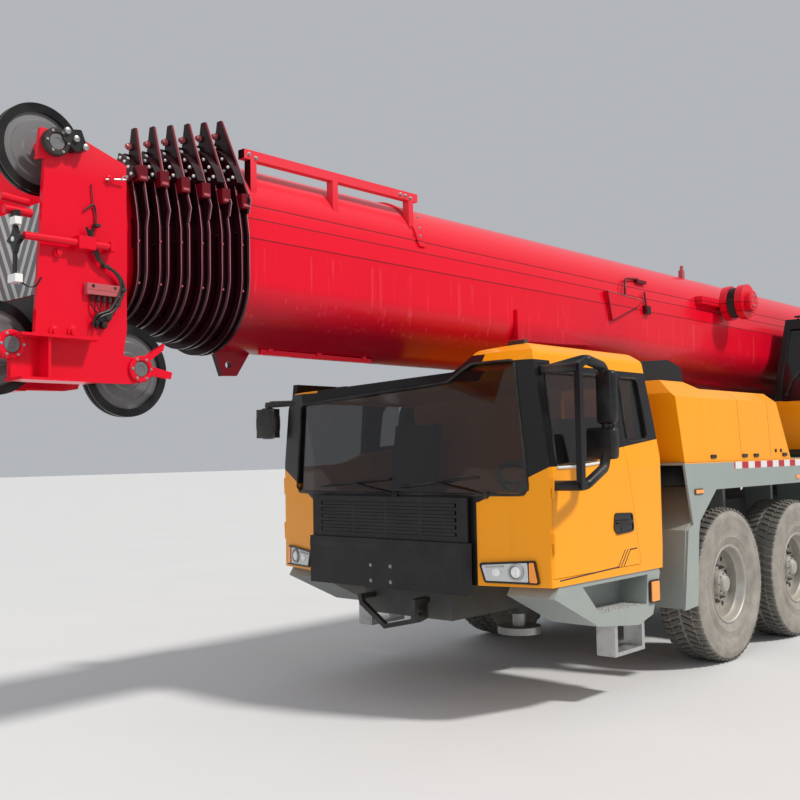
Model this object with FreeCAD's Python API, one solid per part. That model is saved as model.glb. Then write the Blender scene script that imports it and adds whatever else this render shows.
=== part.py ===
# Truck-mounted telescopic crane on a four-axle carrier, boom laid down over the cab for the road.
# Millimetres. +X is the carrier's front, +Y its left, +Z up.
# The origin is on the road, midway along and across.
import FreeCAD, Part
import math
import os

os.makedirs("parts", exist_ok=True)
V = FreeCAD.Vector

# Overall envelope
HALF_LENGTH = 7400.0
HALF_WIDTH = 1375.0
BOOM_FIN_TOP = 4030.0
FIN_TOP_STEP = 38.0

# Clearances
RUNNING_CLEARANCE = 0.05
SEAT_GAP = 0.3
MOVING_GAP = 8.0

# Running gear
AXLE_X = {"axle_1": 950.0, "axle_2": -610.0, "axle_3": -4260.0, "axle_4": -5680.0}
STEERED_AXLES = ("axle_1", "axle_2")
DRIVEN_AXLES = ("axle_3", "axle_4")
TYRE_RADIUS = 680.0
TYRE_WIDTH = 390.0
TREAD_WIDTH = 350.0
TYRE_BORE_RADIUS = 330.0
WHEEL_CENTRE_Y = 1165.0
RIM_WIDTH = 330.0
RIM_BARREL_WALL = 25.0
RIM_DISC_THICKNESS = 18.0
WHEEL_SIDES = 44
HUB_RADIUS = 110.0
HUB_BACK = 60.0
HUB_FRONT = 150.0
SPINDLE_RADIUS = 50.0
SPINDLE_REACH = 50.0
KINGPIN_Y = 1020.0
KINGPIN_RADIUS = 30.0
AXLE_EYE_RADIUS = 55.0
AXLE_EYE_HALF_HEIGHT = 75.0
KNUCKLE_EAR_THICKNESS = 50.0
AXLE_BEAM_HALF_WIDTH = 50.0
AXLE_TUBE_RADIUS = 90.0
DIFFERENTIAL_RADIUS = 210.0

# Chassis frame
FRAME_HALF_WIDTH = 450.0
FRAME_BOTTOM = 900.0
FRAME_TOP = 1330.0
FRAME_FRONT = 2080.0
FRAME_REAR = -7270.0
FRAME_PLATE = 14.0
FRONT_FRAME_TOP = 1040.0
FRONT_FRAME_BOTTOM = 640.0
FRONT_FRAME_FRONT = 3760.0
SLEW_X = -4100.0
TURNTABLE_FRONT = -2950.0
PEDESTAL_RADIUS = 700.0
PEDESTAL_WALL = 110.0
PEDESTAL_TOP = 1600.0

# Outriggers, each box holding one beam for each side
OUTRIGGER_X = {"front": -1850.0, "rear": -6750.0}
BEAM_WIDTH = 210.0
BEAM_HEIGHT = 290.0
BEAM_CENTRE_Z = 1100.0
BEAM_OFFSET_X = 122.0
BEAM_CLEARANCE = 6.0
BOX_WALL = 18.0
BOX_HALF_LENGTH = 1110.0
JACK_Y = 1222.0
JACK_BARREL_RADIUS = 85.0
JACK_BARREL_BOTTOM = 560.0
JACK_BARREL_TOP = 1500.0
JACK_ROD_RADIUS = 58.0
FLOAT_RADIUS = 150.0
FLOAT_BOTTOM = 400.0
FLOAT_THICKNESS = 60.0
FRONT_JACK_X = 2300.0
FRONT_JACK_TOP = 1030.0
FRONT_JACK_BARREL_BOTTOM = 480.0
FRONT_FLOAT_RADIUS = 190.0
FRONT_FLOAT_BOTTOM = 310.0

# Deck, mudguards and step boxes
DECK_Z = 1770.0
DECK_PLATE = 20.0
DECK_FRONT = 1820.0
DECK_REAR = -2560.0
REAR_DECK_Z = 1540.0
REAR_DECK_REAR = -7330.0
FASCIA_THICKNESS = 20.0
ARCH_TOP = 1530.0
MUDGUARD_INNER_Y = 800.0

# Engine hood
HOOD_FRONT = 1800.0
HOOD_TOP = 2480.0
HOOD_STEP_X = 1160.0
HOOD_REAR_TOP = 2420.0
HOOD_REAR = -540.0
HOOD_WALL = 40.0
DUCT_Y = (560.0, 900.0)
ENGINE_X = (-250.0, 1250.0)
ENGINE_HALF_WIDTH = 420.0
ENGINE_TOP = 2250.0

# Carrier cab
CAB_REAR = 2180.0
CAB_FRONT = 3970.0
CAB_CORNER_X = 3790.0
CAB_CORNER_Y = 860.0
CAB_FLOOR = 950.0
CAB_WALL = 55.0
TUNNEL_TOP = 1090.0
FRAME_ROOM_TOP = 1010.0
CAB_WAIST_Z = 1760.0
CAB_ROOF_LEFT = 2660.0
CAB_ROOF_MIDDLE = 2480.0
CAB_ROOF_RIGHT = 2410.0
GLASS_INSET = 18.0
GLASS_THICKNESS = 6.0
DOOR_GAP = 4.0
DOOR_FRONT_X = 3770.0
HINGE_X = 3772.0
HINGE_Y = 1386.0
HINGE_RADIUS = 10.0
HINGE_LENGTH = 70.0
HINGE_LEAF = 16.0
HINGE_Z = [1180.0, 1560.0]

LAMP_DEPTH = 22.0

# Front tow eye
TOW_EYE_X = 3840.0
TOW_EYE_Y = 190.0
TOW_EYE_Z = 700.0
TOW_EYE_RADIUS = 27.0
TOW_EYE_NOSE = 44.0
TOW_EYE_THICKNESS = 40.0

# Superstructure
TURNTABLE_BOTTOM = 1720.0
TURNTABLE_TOP = 1800.0
TURNTABLE_RADIUS = 820.0
SIDE_PLATE_INNER_Y = 480.0
SIDE_PLATE_THICKNESS = 40.0
BOOM_PIVOT_X = -5750.0
BOOM_PIVOT_Z = 3000.0
BOOM_PIN_RADIUS = 75.0
CYLINDER_FOOT_X = -3950.0
CYLINDER_FOOT_Z = 1990.0
ROD_EYE_X = -650.0
ROD_EYE_Z = 2400.0
ROD_EYE_HALF_WIDTH = 90.0
CYLINDER_PIN_RADIUS = 55.0
CYLINDER_BARREL_RADIUS = 130.0
CYLINDER_ROD_RADIUS = 90.0
WINCH_X = -6430.0
WINCH_Z = 2380.0
WINCH_DRUM_RADIUS = 230.0
WINCH_FLANGE_RADIUS = 330.0
WINCH_SHAFT_RADIUS = 60.0
COUNTERWEIGHT_FRONT = -6860.0
COUNTERWEIGHT_REAR = -7320.0
COUNTERWEIGHT_BOTTOM = 1850.0
COUNTERWEIGHT_TOP = 2700.0

# Operator's cab, left of the boom
OPERATOR_CAB_X = (-3700.0, -2080.0)
OPERATOR_CAB_Y = (560.0, 1330.0)
OPERATOR_CAB_Z = (1860.0, 3420.0)
OPERATOR_CAB_WALL = 45.0
OPERATOR_DOOR_THICKNESS = 35.0

# Boom
BOOM_HALF_WIDTH = 420.0
BOOM_TOP = 3800.0
BOOM_BOTTOM = 2575.0
BOOM_CROWN_RADIUS = 380.0
BOOM_CROWN_END = 7.5
BOOM_SHOULDER_DROP = 330.0
# Folds of the side plates under the crown: drop from the top, inset from the side, normal's slope
BOOM_FOLDS = [(420.0, 20.0, 11.6), (550.0, 0.0, 4.4)]
BOOM_WALL = 8.0
SECTION_STEP = 32.0
SECTION_COUNT = 7
BASE_SECTION_REAR = -5980.0
BASE_COLLAR_FRONT = 5710.0
COLLAR_PITCH = 126.0
COLLAR_LENGTH = 66.0
COLLAR_DEPTH = 34.0
COLLAR_FLANGE = 14.0
COLLAR_WEB_DEPTH = 10.0
SECTION_REAR_PITCH = 150.0
FIN_THICKNESS = 20.0
FIN_TIP_HALF_WIDTH = 20.0
FIN_TIP_Y = 180.0
FIN_LOW_TOP = 3880.0
STORAGE_LUG_X = 5480.0
STORAGE_LUG_Z = 2490.0
STORAGE_LUG_RADIUS = 24.0
STORAGE_LUG_THICKNESS = 40.0
HEAD_REAR = 6450.0
HEAD_FRONT = 6960.0
HEAD_PLATE_Y = 350.0
HEAD_PLATE_THICKNESS = 30.0
HEAD_PLATE_BOTTOM = 2610.0
HEAD_PLATE_TOP = 3640.0
SHEAVE_THICKNESS = 56.0
SHEAVE_GROOVE = 24.0
SHEAVE_PIN_RADIUS = 40.0
# Each shaft: x, z, sheave radius, middle of each sheave across
HEAD_SHEAVES = [
    (HEAD_REAR - 60, 2390.0, 265.0, (230.0,)),
    (HEAD_FRONT - 60, 3580.0, 250.0, (190.0,)),
    (HEAD_FRONT + 190, 2480.0, 250.0, (-180.0, -60.0, 60.0, 180.0)),
]

# Fittings on the boom's base section
RAIL_X = (3950.0, 5600.0)
RAIL_Y = (292.0, 352.0)
RAIL_Z = (3772.0, 3832.0)
RAIL_FEET_X = (4000.0, 4780.0, 5500.0)
STRAP = [(3990.0, 3830.0), (4060.0, 3830.0), (3990.0, 3430.0), (3920.0, 3430.0)]
STRAP_THICKNESS = 14.0
REST_WEDGE = [(2840.0, 3060.0), (2840.0, 2800.0), (2180.0, 2815.0), (1690.0, 2837.0)]
SIDE_BRACKET = [(1405.0, 3371.0), (756.0, 3342.0), (818.0, 3287.0), (1332.0, 3096.0)]
REEL_X = -1110.0
REEL_Z = 3490.0
# Steps of the cable reel: where each ends out from the boom's side, and its radius
REEL_STEPS = [(40.0, 120.0), (110.0, 190.0), (210.0, 150.0), (290.0, 190.0), (350.0, 110.0)]

# Outlines seen from the side, x and z
STEP_BOX_OUTLINE = [
    (3760, 870), (3200, 610), (2620, 545), (2400, 600), (2270, 915), (2290, CAB_FLOOR - SEAT_GAP),
    (3700, CAB_FLOOR - SEAT_GAP),
]
DOOR_OUTLINE = [
    (2590, 1010), (2590, 1050), (2775, 1930), (2810, 2500), (DOOR_FRONT_X - 10, 2500), (DOOR_FRONT_X, 1010),
]
DOOR_WINDOW = [(2870, 1890), (2890, 2440), (3690, 2440), (3700, 1790), (3150, 1810)]
QUARTER_WINDOW = [(2390, 1980), (2420, 2440), (2700, 2440), (2690, 1960)]
MIRROR_LOOP = [
    (3755, 2480), (3640, 2540), (3420, 2500), (3360, 2430),
    (3360, 1890), (3420, 1740), (3680, 1625), (3755, 1625),
]
MIRROR_BAR = 46.0
MIRROR_BAR_Y = (1565.0, 1610.0)
MIRROR_OUTER_Y = 1660.0

# Windscreen seen from the front, y and z
WINDSHIELD = [(-1120, 1600), (-1030, 2300), (560, 2400), (760, 2520), (1130, 2520), (1210, 1600)]

# Front step: a bent bar seen from the front, y and z
FRONT_STEP = [(-345, 800), (-335, 735), (-85, 575), (205, 640), (215, 800)]
FRONT_STEP_BAR = 36.0


def box(x_range, y_range, z_range):
    corner = V(x_range[0], y_range[0], z_range[0])
    return Part.makeBox(x_range[1] - x_range[0], y_range[1] - y_range[0], z_range[1] - z_range[0], corner)


def polygon_face(points):
    return Part.Face(Part.makePolygon(points + [points[0]]))


def side_prism(points, y_range):
    """Prism with the outline given as (x, z) points, seen from the side."""
    face = polygon_face([V(x, y_range[0], z) for x, z in points])
    return face.extrude(V(0, y_range[1] - y_range[0], 0))


def end_prism(points, x_range):
    """Prism with the outline given as (y, z) points, seen from the end."""
    face = polygon_face([V(x_range[0], y, z) for y, z in points])
    return face.extrude(V(x_range[1] - x_range[0], 0, 0))


def plan_prism(points, z_range):
    """Prism with the outline given as (x, y) points, seen from above."""
    face = polygon_face([V(x, y, z_range[0]) for x, y in points])
    return face.extrude(V(0, 0, z_range[1] - z_range[0]))


def rod(start, end, radius):
    start, end = V(*start), V(*end)
    axis = end - start
    return Part.makeCylinder(radius, axis.Length, start, axis)


def pin_along_y(x, z, y_range, radius):
    return rod((x, y_range[0], z), (x, y_range[1], z), radius)


def turned_about_y(profile, centre):
    """Solid turned about a line along Y through the centre; the profile is (y offset, radius) points."""
    face = polygon_face([V(0, y, radius) for y, radius in profile])
    solid = face.revolve(V(0, 0, 0), V(0, 1, 0), 360)
    solid.translate(V(*centre))
    return solid


def ring_points(y, radius, centre):
    turns = [2 * math.pi * (step + 0.5) / WHEEL_SIDES for step in range(WHEEL_SIDES)]
    x0, y0, z0 = centre
    return [V(x0 + radius * math.sin(turn), y0 + y, z0 - radius * math.cos(turn)) for turn in turns]


def faceted_about_y(profile, centre):
    """Many-sided ring about a line along Y; the closed profile is (y offset, corner radius) points."""
    rings = [ring_points(y, radius, centre) for y, radius in profile]
    faces = []
    for ring, following in zip(rings, rings[1:] + rings[:1]):
        for i in range(WHEEL_SIDES):
            k = (i + 1) % WHEEL_SIDES
            faces.append(polygon_face([ring[i], ring[k], following[k], following[i]]))
    shell = Part.makeShell(faces)
    shell.sewShape()
    return Part.makeSolid(shell)


def grown(outline, margin):
    """The outline moved outwards by the margin, or inwards when it is negative; corners keep their order."""
    points = [V(a, b, 0) for a, b in outline]
    count = len(points)
    area = sum(points[i - 1].x * points[i].y - points[i].x * points[i - 1].y for i in range(count))
    reach = math.copysign(1, area) * margin
    result = []
    for i, point in enumerate(points):
        before = (point - points[i - 1]).normalize()
        after = (points[(i + 1) % count] - point).normalize()
        across = (before + after) * (reach / (1 + before.dot(after)))
        result.append((point.x + across.y, point.y - across.x))
    return result


def rounded(outline, radii, chords=3):
    """The outline with its corners cut to short chords; one radius for each corner, 0 to keep it sharp."""
    points = [V(a, b, 0) for a, b in outline]
    count = len(points)
    result = []
    for i, (point, radius) in enumerate(zip(points, radii)):
        if radius <= 0:
            result.append((point.x, point.y))
            continue
        back = (points[i - 1] - point).normalize()
        on = (points[(i + 1) % count] - point).normalize()
        half = back.getAngle(on) / 2
        middle = point + (back + on).normalize() * (radius / math.sin(half))
        start = point + back * (radius / math.tan(half)) - middle
        end = point + on * (radius / math.tan(half)) - middle
        turn = start.getAngle(end)
        for step in range(chords + 1):
            done = turn * step / chords
            spoke = (start * math.sin(turn - done) + end * math.sin(done)) * (1 / math.sin(turn))
            result.append((middle.x + spoke.x, middle.y + spoke.y))
    return result


def band_along(line, width):
    """Outline of a bar of even width whose middle follows the line."""
    points = [V(a, b, 0) for a, b in line]
    near, far = [], []
    for i, point in enumerate(points):
        before = (point - points[i - 1]).normalize() if i else (points[1] - points[0]).normalize()
        after = (points[i + 1] - point).normalize() if i + 1 < len(points) else before
        reach = width / 2 / (1 + before.dot(after))
        across = (before + after) * reach
        near.append((point.x - across.y, point.y + across.x))
        far.append((point.x + across.y, point.y - across.x))
    return near + far[::-1]


def mirrored(shape):
    return shape.mirror(V(0, 0, 0), V(0, 1, 0))


def both_sides(shapes):
    return list(shapes) + [mirrored(shape) for shape in shapes]


def fused(shapes):
    result = shapes[0]
    if len(shapes) > 1:
        result = shapes[0].multiFuse(list(shapes[1:]))
    return result.removeSplitter()


def cut(shape, tools):
    for tool in tools:
        shape = shape.cut(tool)
    return shape


def solids_of(shapes):
    return [solid for shape in shapes for solid in shape.Solids]


def save(name, shapes):
    solids = solids_of(shapes if isinstance(shapes, list) else [shapes])
    for solid in solids:
        if solid.Volume < 0:
            solid.reverse()
    result = solids[0] if len(solids) == 1 else Part.makeCompound(solids)
    result.exportStep("parts/" + name + ".step")


# Wheels and axles

def tyre(centre):
    half_tread = TREAD_WIDTH / 2
    half_width = TYRE_WIDTH / 2
    bead = RIM_WIDTH / 2 - 5
    half_profile = [
        (half_tread - 8, TYRE_RADIUS), (half_width - 7, 0.91 * TYRE_RADIUS),
        (half_width, 0.74 * TYRE_RADIUS), (bead, TYRE_BORE_RADIUS),
    ]
    far_side = [(-y, radius) for y, radius in reversed(half_profile)]
    return faceted_about_y(half_profile + far_side, centre)


def rim(centre):
    """Barrel and inset disc, with the hub and its blind bore for the spindle."""
    outer = TYRE_BORE_RADIUS - SEAT_GAP
    inner = outer - RIM_BARREL_WALL
    half = RIM_WIDTH / 2
    bore = SPINDLE_RADIUS + RUNNING_CLEARANCE
    disc_front = 25.0
    disc_back = disc_front - RIM_DISC_THICKNESS
    disc_inner = HUB_RADIUS - 20
    dished = faceted_about_y([
        (half, outer), (half, inner), (disc_front, inner), (disc_front, disc_inner),
        (disc_back, disc_inner), (disc_back, inner), (-half, inner), (-half, outer),
    ], centre)
    hub = turned_about_y([
        (-HUB_BACK, bore), (SPINDLE_REACH + MOVING_GAP, bore), (SPINDLE_REACH + MOVING_GAP, 0),
        (HUB_FRONT, 0), (HUB_FRONT, 0.6 * HUB_RADIUS), (disc_front, HUB_RADIUS), (-HUB_BACK, HUB_RADIUS),
    ], centre)
    return fused([dished, hub])


def knuckle(axle_x):
    """Left steering knuckle: two ears on the kingpin, a back plate and the wheel spindle."""
    z = TYRE_RADIUS
    ear_low = AXLE_EYE_HALF_HEIGHT + MOVING_GAP
    plate_y = (WHEEL_CENTRE_Y - HUB_BACK - MOVING_GAP - 20, WHEEL_CENTRE_Y - HUB_BACK - MOVING_GAP)
    ear_x = (axle_x - 60, axle_x + 60)
    ear_y = (KINGPIN_Y - 55, plate_y[1])
    upper = box(ear_x, ear_y, (z + ear_low, z + ear_low + KNUCKLE_EAR_THICKNESS))
    lower = box(ear_x, ear_y, (z - ear_low - KNUCKLE_EAR_THICKNESS, z - ear_low))
    reach = ear_low + KNUCKLE_EAR_THICKNESS
    plate = box(ear_x, plate_y, (z - reach, z + reach))
    kingpin = rod((axle_x, KINGPIN_Y, z - reach), (axle_x, KINGPIN_Y, z + reach), KINGPIN_RADIUS)
    spindle = pin_along_y(axle_x, z, (plate_y[0], WHEEL_CENTRE_Y + SPINDLE_REACH), SPINDLE_RADIUS)
    return fused([upper, lower, plate, kingpin, spindle])


def steered_axle(axle_x):
    z = TYRE_RADIUS
    half = AXLE_BEAM_HALF_WIDTH
    height = AXLE_EYE_HALF_HEIGHT
    beam = box((axle_x - half, axle_x + half), (-KINGPIN_Y, KINGPIN_Y), (z - height, z + height))
    parts = [beam]
    for y in (-KINGPIN_Y, KINGPIN_Y):
        parts.append(rod((axle_x, y, z - height), (axle_x, y, z + height), AXLE_EYE_RADIUS))
    axle = fused(parts)
    bores = []
    bore = KINGPIN_RADIUS + RUNNING_CLEARANCE
    for y in (-KINGPIN_Y, KINGPIN_Y):
        bores.append(rod((axle_x, y, z - 2 * height), (axle_x, y, z + 2 * height), bore))
    return cut(axle, bores)


def driven_axle(axle_x):
    z = TYRE_RADIUS
    tube_end = WHEEL_CENTRE_Y - HUB_BACK - MOVING_GAP
    spindle_end = WHEEL_CENTRE_Y + SPINDLE_REACH
    tube = pin_along_y(axle_x, z, (-tube_end, tube_end), AXLE_TUBE_RADIUS)
    spindle = pin_along_y(axle_x, z, (-spindle_end, spindle_end), SPINDLE_RADIUS)
    bowl = rod((axle_x - 170, 0, z), (axle_x + 170, 0, z), DIFFERENTIAL_RADIUS)
    return fused([tube, spindle, bowl])


def leaf_spring(axle_x, seat_z):
    """Stepped leaf spring under one frame rail, from the axle seat up to the frame."""
    spring = [
        (axle_x - 120, seat_z), (axle_x + 120, seat_z), (axle_x + 330, seat_z + 50),
        (axle_x + 540, FRAME_BOTTOM), (axle_x + 440, FRAME_BOTTOM), (axle_x + 150, seat_z + 90),
        (axle_x - 150, seat_z + 90), (axle_x - 440, FRAME_BOTTOM), (axle_x - 540, FRAME_BOTTOM),
        (axle_x - 330, seat_z + 50),
    ]
    return side_prism(spring, (320, 410))


def running_gear():
    for name, axle_x in AXLE_X.items():
        centre = (axle_x, WHEEL_CENTRE_Y, TYRE_RADIUS)
        tyre_left, rim_left = tyre(centre), rim(centre)
        save(name + "_tyre_left", tyre_left)
        save(name + "_rim_left", rim_left)
        save(name + "_tyre_right", mirrored(tyre_left))
        save(name + "_rim_right", mirrored(rim_left))
    for name in STEERED_AXLES:
        knuckle_left = knuckle(AXLE_X[name])
        save(name + "_knuckle_left", knuckle_left)
        save(name + "_knuckle_right", mirrored(knuckle_left))
    pieces = []
    for name in STEERED_AXLES:
        axle_x = AXLE_X[name]
        spring = leaf_spring(axle_x, TYRE_RADIUS + AXLE_EYE_HALF_HEIGHT)
        pieces.append(fused([steered_axle(axle_x)] + both_sides([spring])))
    for name in DRIVEN_AXLES:
        axle_x = AXLE_X[name]
        spring = leaf_spring(axle_x, TYRE_RADIUS + 0.8 * AXLE_TUBE_RADIUS)
        pieces.append(fused([driven_axle(axle_x)] + both_sides([spring])))
    engine = box(ENGINE_X, (-ENGINE_HALF_WIDTH, ENGINE_HALF_WIDTH), (FRAME_TOP, ENGINE_TOP))
    transfer_case = box((-1480, -1100), (-200, 200), (660, FRAME_BOTTOM))
    shaft_z = TYRE_RADIUS + 40
    shafts = [
        rod((AXLE_X["axle_3"] + 170, 0, shaft_z), (-1480, 0, 760), 55),
        rod((AXLE_X["axle_4"] + 170, 0, shaft_z), (AXLE_X["axle_3"] - 170, 0, shaft_z), 55),
    ]
    save("axles_and_drivetrain", [fused(pieces + [transfer_case] + shafts), engine])


# Carrier

def beam_centre_x(position, side):
    """The left beam lies in the front half of its box, the right beam in the rear half."""
    return OUTRIGGER_X[position] + side * BEAM_OFFSET_X


def outrigger_box(position):
    x = OUTRIGGER_X[position]
    half_x = BEAM_OFFSET_X + BEAM_WIDTH / 2 + BEAM_CLEARANCE + BOX_WALL
    half_z = BEAM_HEIGHT / 2 + BEAM_CLEARANCE + BOX_WALL
    z_range = (BEAM_CENTRE_Z - half_z, BEAM_CENTRE_Z + half_z)
    return box((x - half_x, x + half_x), (-BOX_HALF_LENGTH, BOX_HALF_LENGTH), z_range)


def beam_tunnel(position, side):
    x = beam_centre_x(position, side)
    half_x = BEAM_WIDTH / 2 + BEAM_CLEARANCE
    half_z = BEAM_HEIGHT / 2 + BEAM_CLEARANCE
    z_range = (BEAM_CENTRE_Z - half_z, BEAM_CENTRE_Z + half_z)
    return box((x - half_x, x + half_x), (-BOX_HALF_LENGTH - 50, BOX_HALF_LENGTH + 50), z_range)


def beam_pad(position, side):
    """Slide pad on the floor of a tunnel's mouth, under the beam."""
    x = beam_centre_x(position, side)
    beam_bottom = BEAM_CENTRE_Z - BEAM_HEIGHT / 2
    y_range = sorted((side * (BOX_HALF_LENGTH - 200), side * (BOX_HALF_LENGTH - 10)))
    return box((x - 90, x + 90), y_range, (beam_bottom - BEAM_CLEARANCE - 5, beam_bottom - SEAT_GAP))


def chassis_frame():
    half = FRAME_HALF_WIDTH
    main = box((FRAME_REAR, FRAME_FRONT), (-half, half), (FRAME_BOTTOM, FRAME_TOP))
    inside = box((FRAME_REAR - 10, FRAME_FRONT - 400), (FRAME_PLATE - half, half - FRAME_PLATE),
                 (FRAME_BOTTOM + FRAME_PLATE, FRAME_TOP - FRAME_PLATE))
    front = side_prism([
        (FRAME_FRONT - 300, FRAME_BOTTOM), (2200, FRONT_FRAME_BOTTOM),
        (FRONT_FRAME_FRONT, FRONT_FRAME_BOTTOM),
        (FRONT_FRAME_FRONT, FRONT_FRAME_TOP - 140), (2700, FRONT_FRAME_TOP - 100),
        (2120, FRONT_FRAME_TOP - 40), (FRAME_FRONT, FRAME_TOP), (FRAME_FRONT - 300, FRAME_TOP),
    ], (-half, half))
    pedestal = rod((SLEW_X, 0, FRAME_BOTTOM), (SLEW_X, 0, PEDESTAL_TOP), PEDESTAL_RADIUS)
    pedestal = pedestal.cut(rod((SLEW_X, 0, FRAME_BOTTOM + FRAME_PLATE), (SLEW_X, 0, PEDESTAL_TOP + 10),
                                PEDESTAL_RADIUS - PEDESTAL_WALL))
    ring = rod((SLEW_X, 0, PEDESTAL_TOP), (SLEW_X, 0, TURNTABLE_BOTTOM - SEAT_GAP), PEDESTAL_RADIUS - 60)
    ring_hole = rod((SLEW_X, 0, PEDESTAL_TOP - 10), (SLEW_X, 0, TURNTABLE_BOTTOM), PEDESTAL_RADIUS - 160)
    ring = ring.cut(ring_hole)
    barrel = rod((FRONT_JACK_X, 0, FRONT_JACK_BARREL_BOTTOM), (FRONT_JACK_X, 0, FRONT_JACK_TOP),
                 JACK_BARREL_RADIUS)
    cab_mounts = []
    for x in (2430, 3500):
        cab_mounts.append(box((x, x + 120), (300, 420), (FRONT_FRAME_TOP - 200, FRAME_ROOM_TOP - SEAT_GAP)))
    rear_bumper = box((FRAME_REAR - 90, FRAME_REAR), (-1250, 1250), (700, 960))
    boxes = [outrigger_box(position) for position in OUTRIGGER_X]
    frame = fused([main.cut(inside), front, pedestal, ring, barrel, rear_bumper] + boxes)
    tunnels = [beam_tunnel(position, side) for position in OUTRIGGER_X for side in (1, -1)]
    jack_bore = rod((FRONT_JACK_X, 0, FRONT_JACK_BARREL_BOTTOM - 5), (FRONT_JACK_X, 0, FRONT_JACK_TOP - 25),
                    JACK_ROD_RADIUS + RUNNING_CLEARANCE)
    frame = cut(frame, tunnels + [jack_bore])
    pads = [beam_pad(position, side) for position in OUTRIGGER_X for side in (1, -1)]
    return fused([frame] + pads + both_sides(cab_mounts))


def outrigger_beam(position, side):
    """Beam with its jack barrel, built for the left and mirrored for the right."""
    x = beam_centre_x(position, side)
    inner_end = -BOX_HALF_LENGTH + 20
    beam = box((x - BEAM_WIDTH / 2, x + BEAM_WIDTH / 2), (inner_end, JACK_Y),
               (BEAM_CENTRE_Z - BEAM_HEIGHT / 2, BEAM_CENTRE_Z + BEAM_HEIGHT / 2))
    barrel = rod((x, JACK_Y, JACK_BARREL_BOTTOM), (x, JACK_Y, JACK_BARREL_TOP), JACK_BARREL_RADIUS)
    bore = rod((x, JACK_Y, JACK_BARREL_BOTTOM - 5), (x, JACK_Y, JACK_BARREL_TOP - 30),
               JACK_ROD_RADIUS + RUNNING_CLEARANCE)
    piece = fused([beam, barrel]).cut(bore)
    return piece if side > 0 else mirrored(piece)


def jack_rod(x, y, rod_top, float_bottom, float_radius):
    shaft = rod((x, y, float_bottom), (x, y, rod_top), JACK_ROD_RADIUS)
    foot = rod((x, y, float_bottom), (x, y, float_bottom + FLOAT_THICKNESS), float_radius)
    return fused([shaft, foot])


def stands():
    for position in OUTRIGGER_X:
        for side, word in ((1, "left"), (-1, "right")):
            x = beam_centre_x(position, side)
            save("outrigger_beam_" + position + "_" + word, outrigger_beam(position, side))
            jack = jack_rod(x, side * JACK_Y, JACK_BARREL_TOP - 60, FLOAT_BOTTOM, FLOAT_RADIUS)
            save("outrigger_jack_" + position + "_" + word, jack)
    jack = jack_rod(FRONT_JACK_X, 0, FRONT_JACK_TOP - 50, FRONT_FLOAT_BOTTOM, FRONT_FLOAT_RADIUS)
    save("front_jack", jack)


def front_mudguard():
    """Left front mudguard: outer fascia with the arch, the top plate and the guard in front of the wheel."""
    outer = (HALF_WIDTH - FASCIA_THICKNESS, HALF_WIDTH)
    fascia = side_prism([
        (DECK_FRONT, DECK_Z), (1690, 1250), (1780, 1210), (1880, 560), (1650, 575), (1590, 1180),
        (1560, 1276), (1235, ARCH_TOP), (DECK_REAR + 980, ARCH_TOP), (DECK_REAR + 940, 1650),
        (DECK_REAR, 1650), (DECK_REAR, DECK_Z),
    ], outer)
    inner = (MUDGUARD_INNER_Y, outer[0])
    top = side_prism([
        (1800, 1180), (1235, ARCH_TOP), (DECK_REAR + 980, ARCH_TOP), (DECK_REAR + 980, ARCH_TOP + 20),
        (1250, ARCH_TOP + 20), (1800, 1210),
    ], inner)
    guard = side_prism([(1780, 1205), (1860, 570), (1880, 570), (1800, 1205)], inner)
    return fused([fascia, top, guard])


def rear_mudguard():
    front, rear = AXLE_X["axle_3"] + 820, AXLE_X["axle_4"] - 790
    top = REAR_DECK_Z - DECK_PLATE
    arch = side_prism([
        (front, 1050), (front - 200, 1440), (rear + 200, 1440), (rear, 1050), (rear - 20, 1050),
        (rear + 160, top), (front - 160, top), (front + 20, 1050),
    ], (880, HALF_WIDTH))
    return arch


def step_box():
    """Left step box under the cab door, with its tread well."""
    well = [(3400, 915), (3180, 700), (2500, 690), (2470, 915)]
    body = side_prism(STEP_BOX_OUTLINE, (960, 1365))
    bracket = box((2620, 2760), (FRAME_HALF_WIDTH, 970), (760, 880))
    return fused([body.cut(side_prism(well, (1120, 1400))), bracket])


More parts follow.
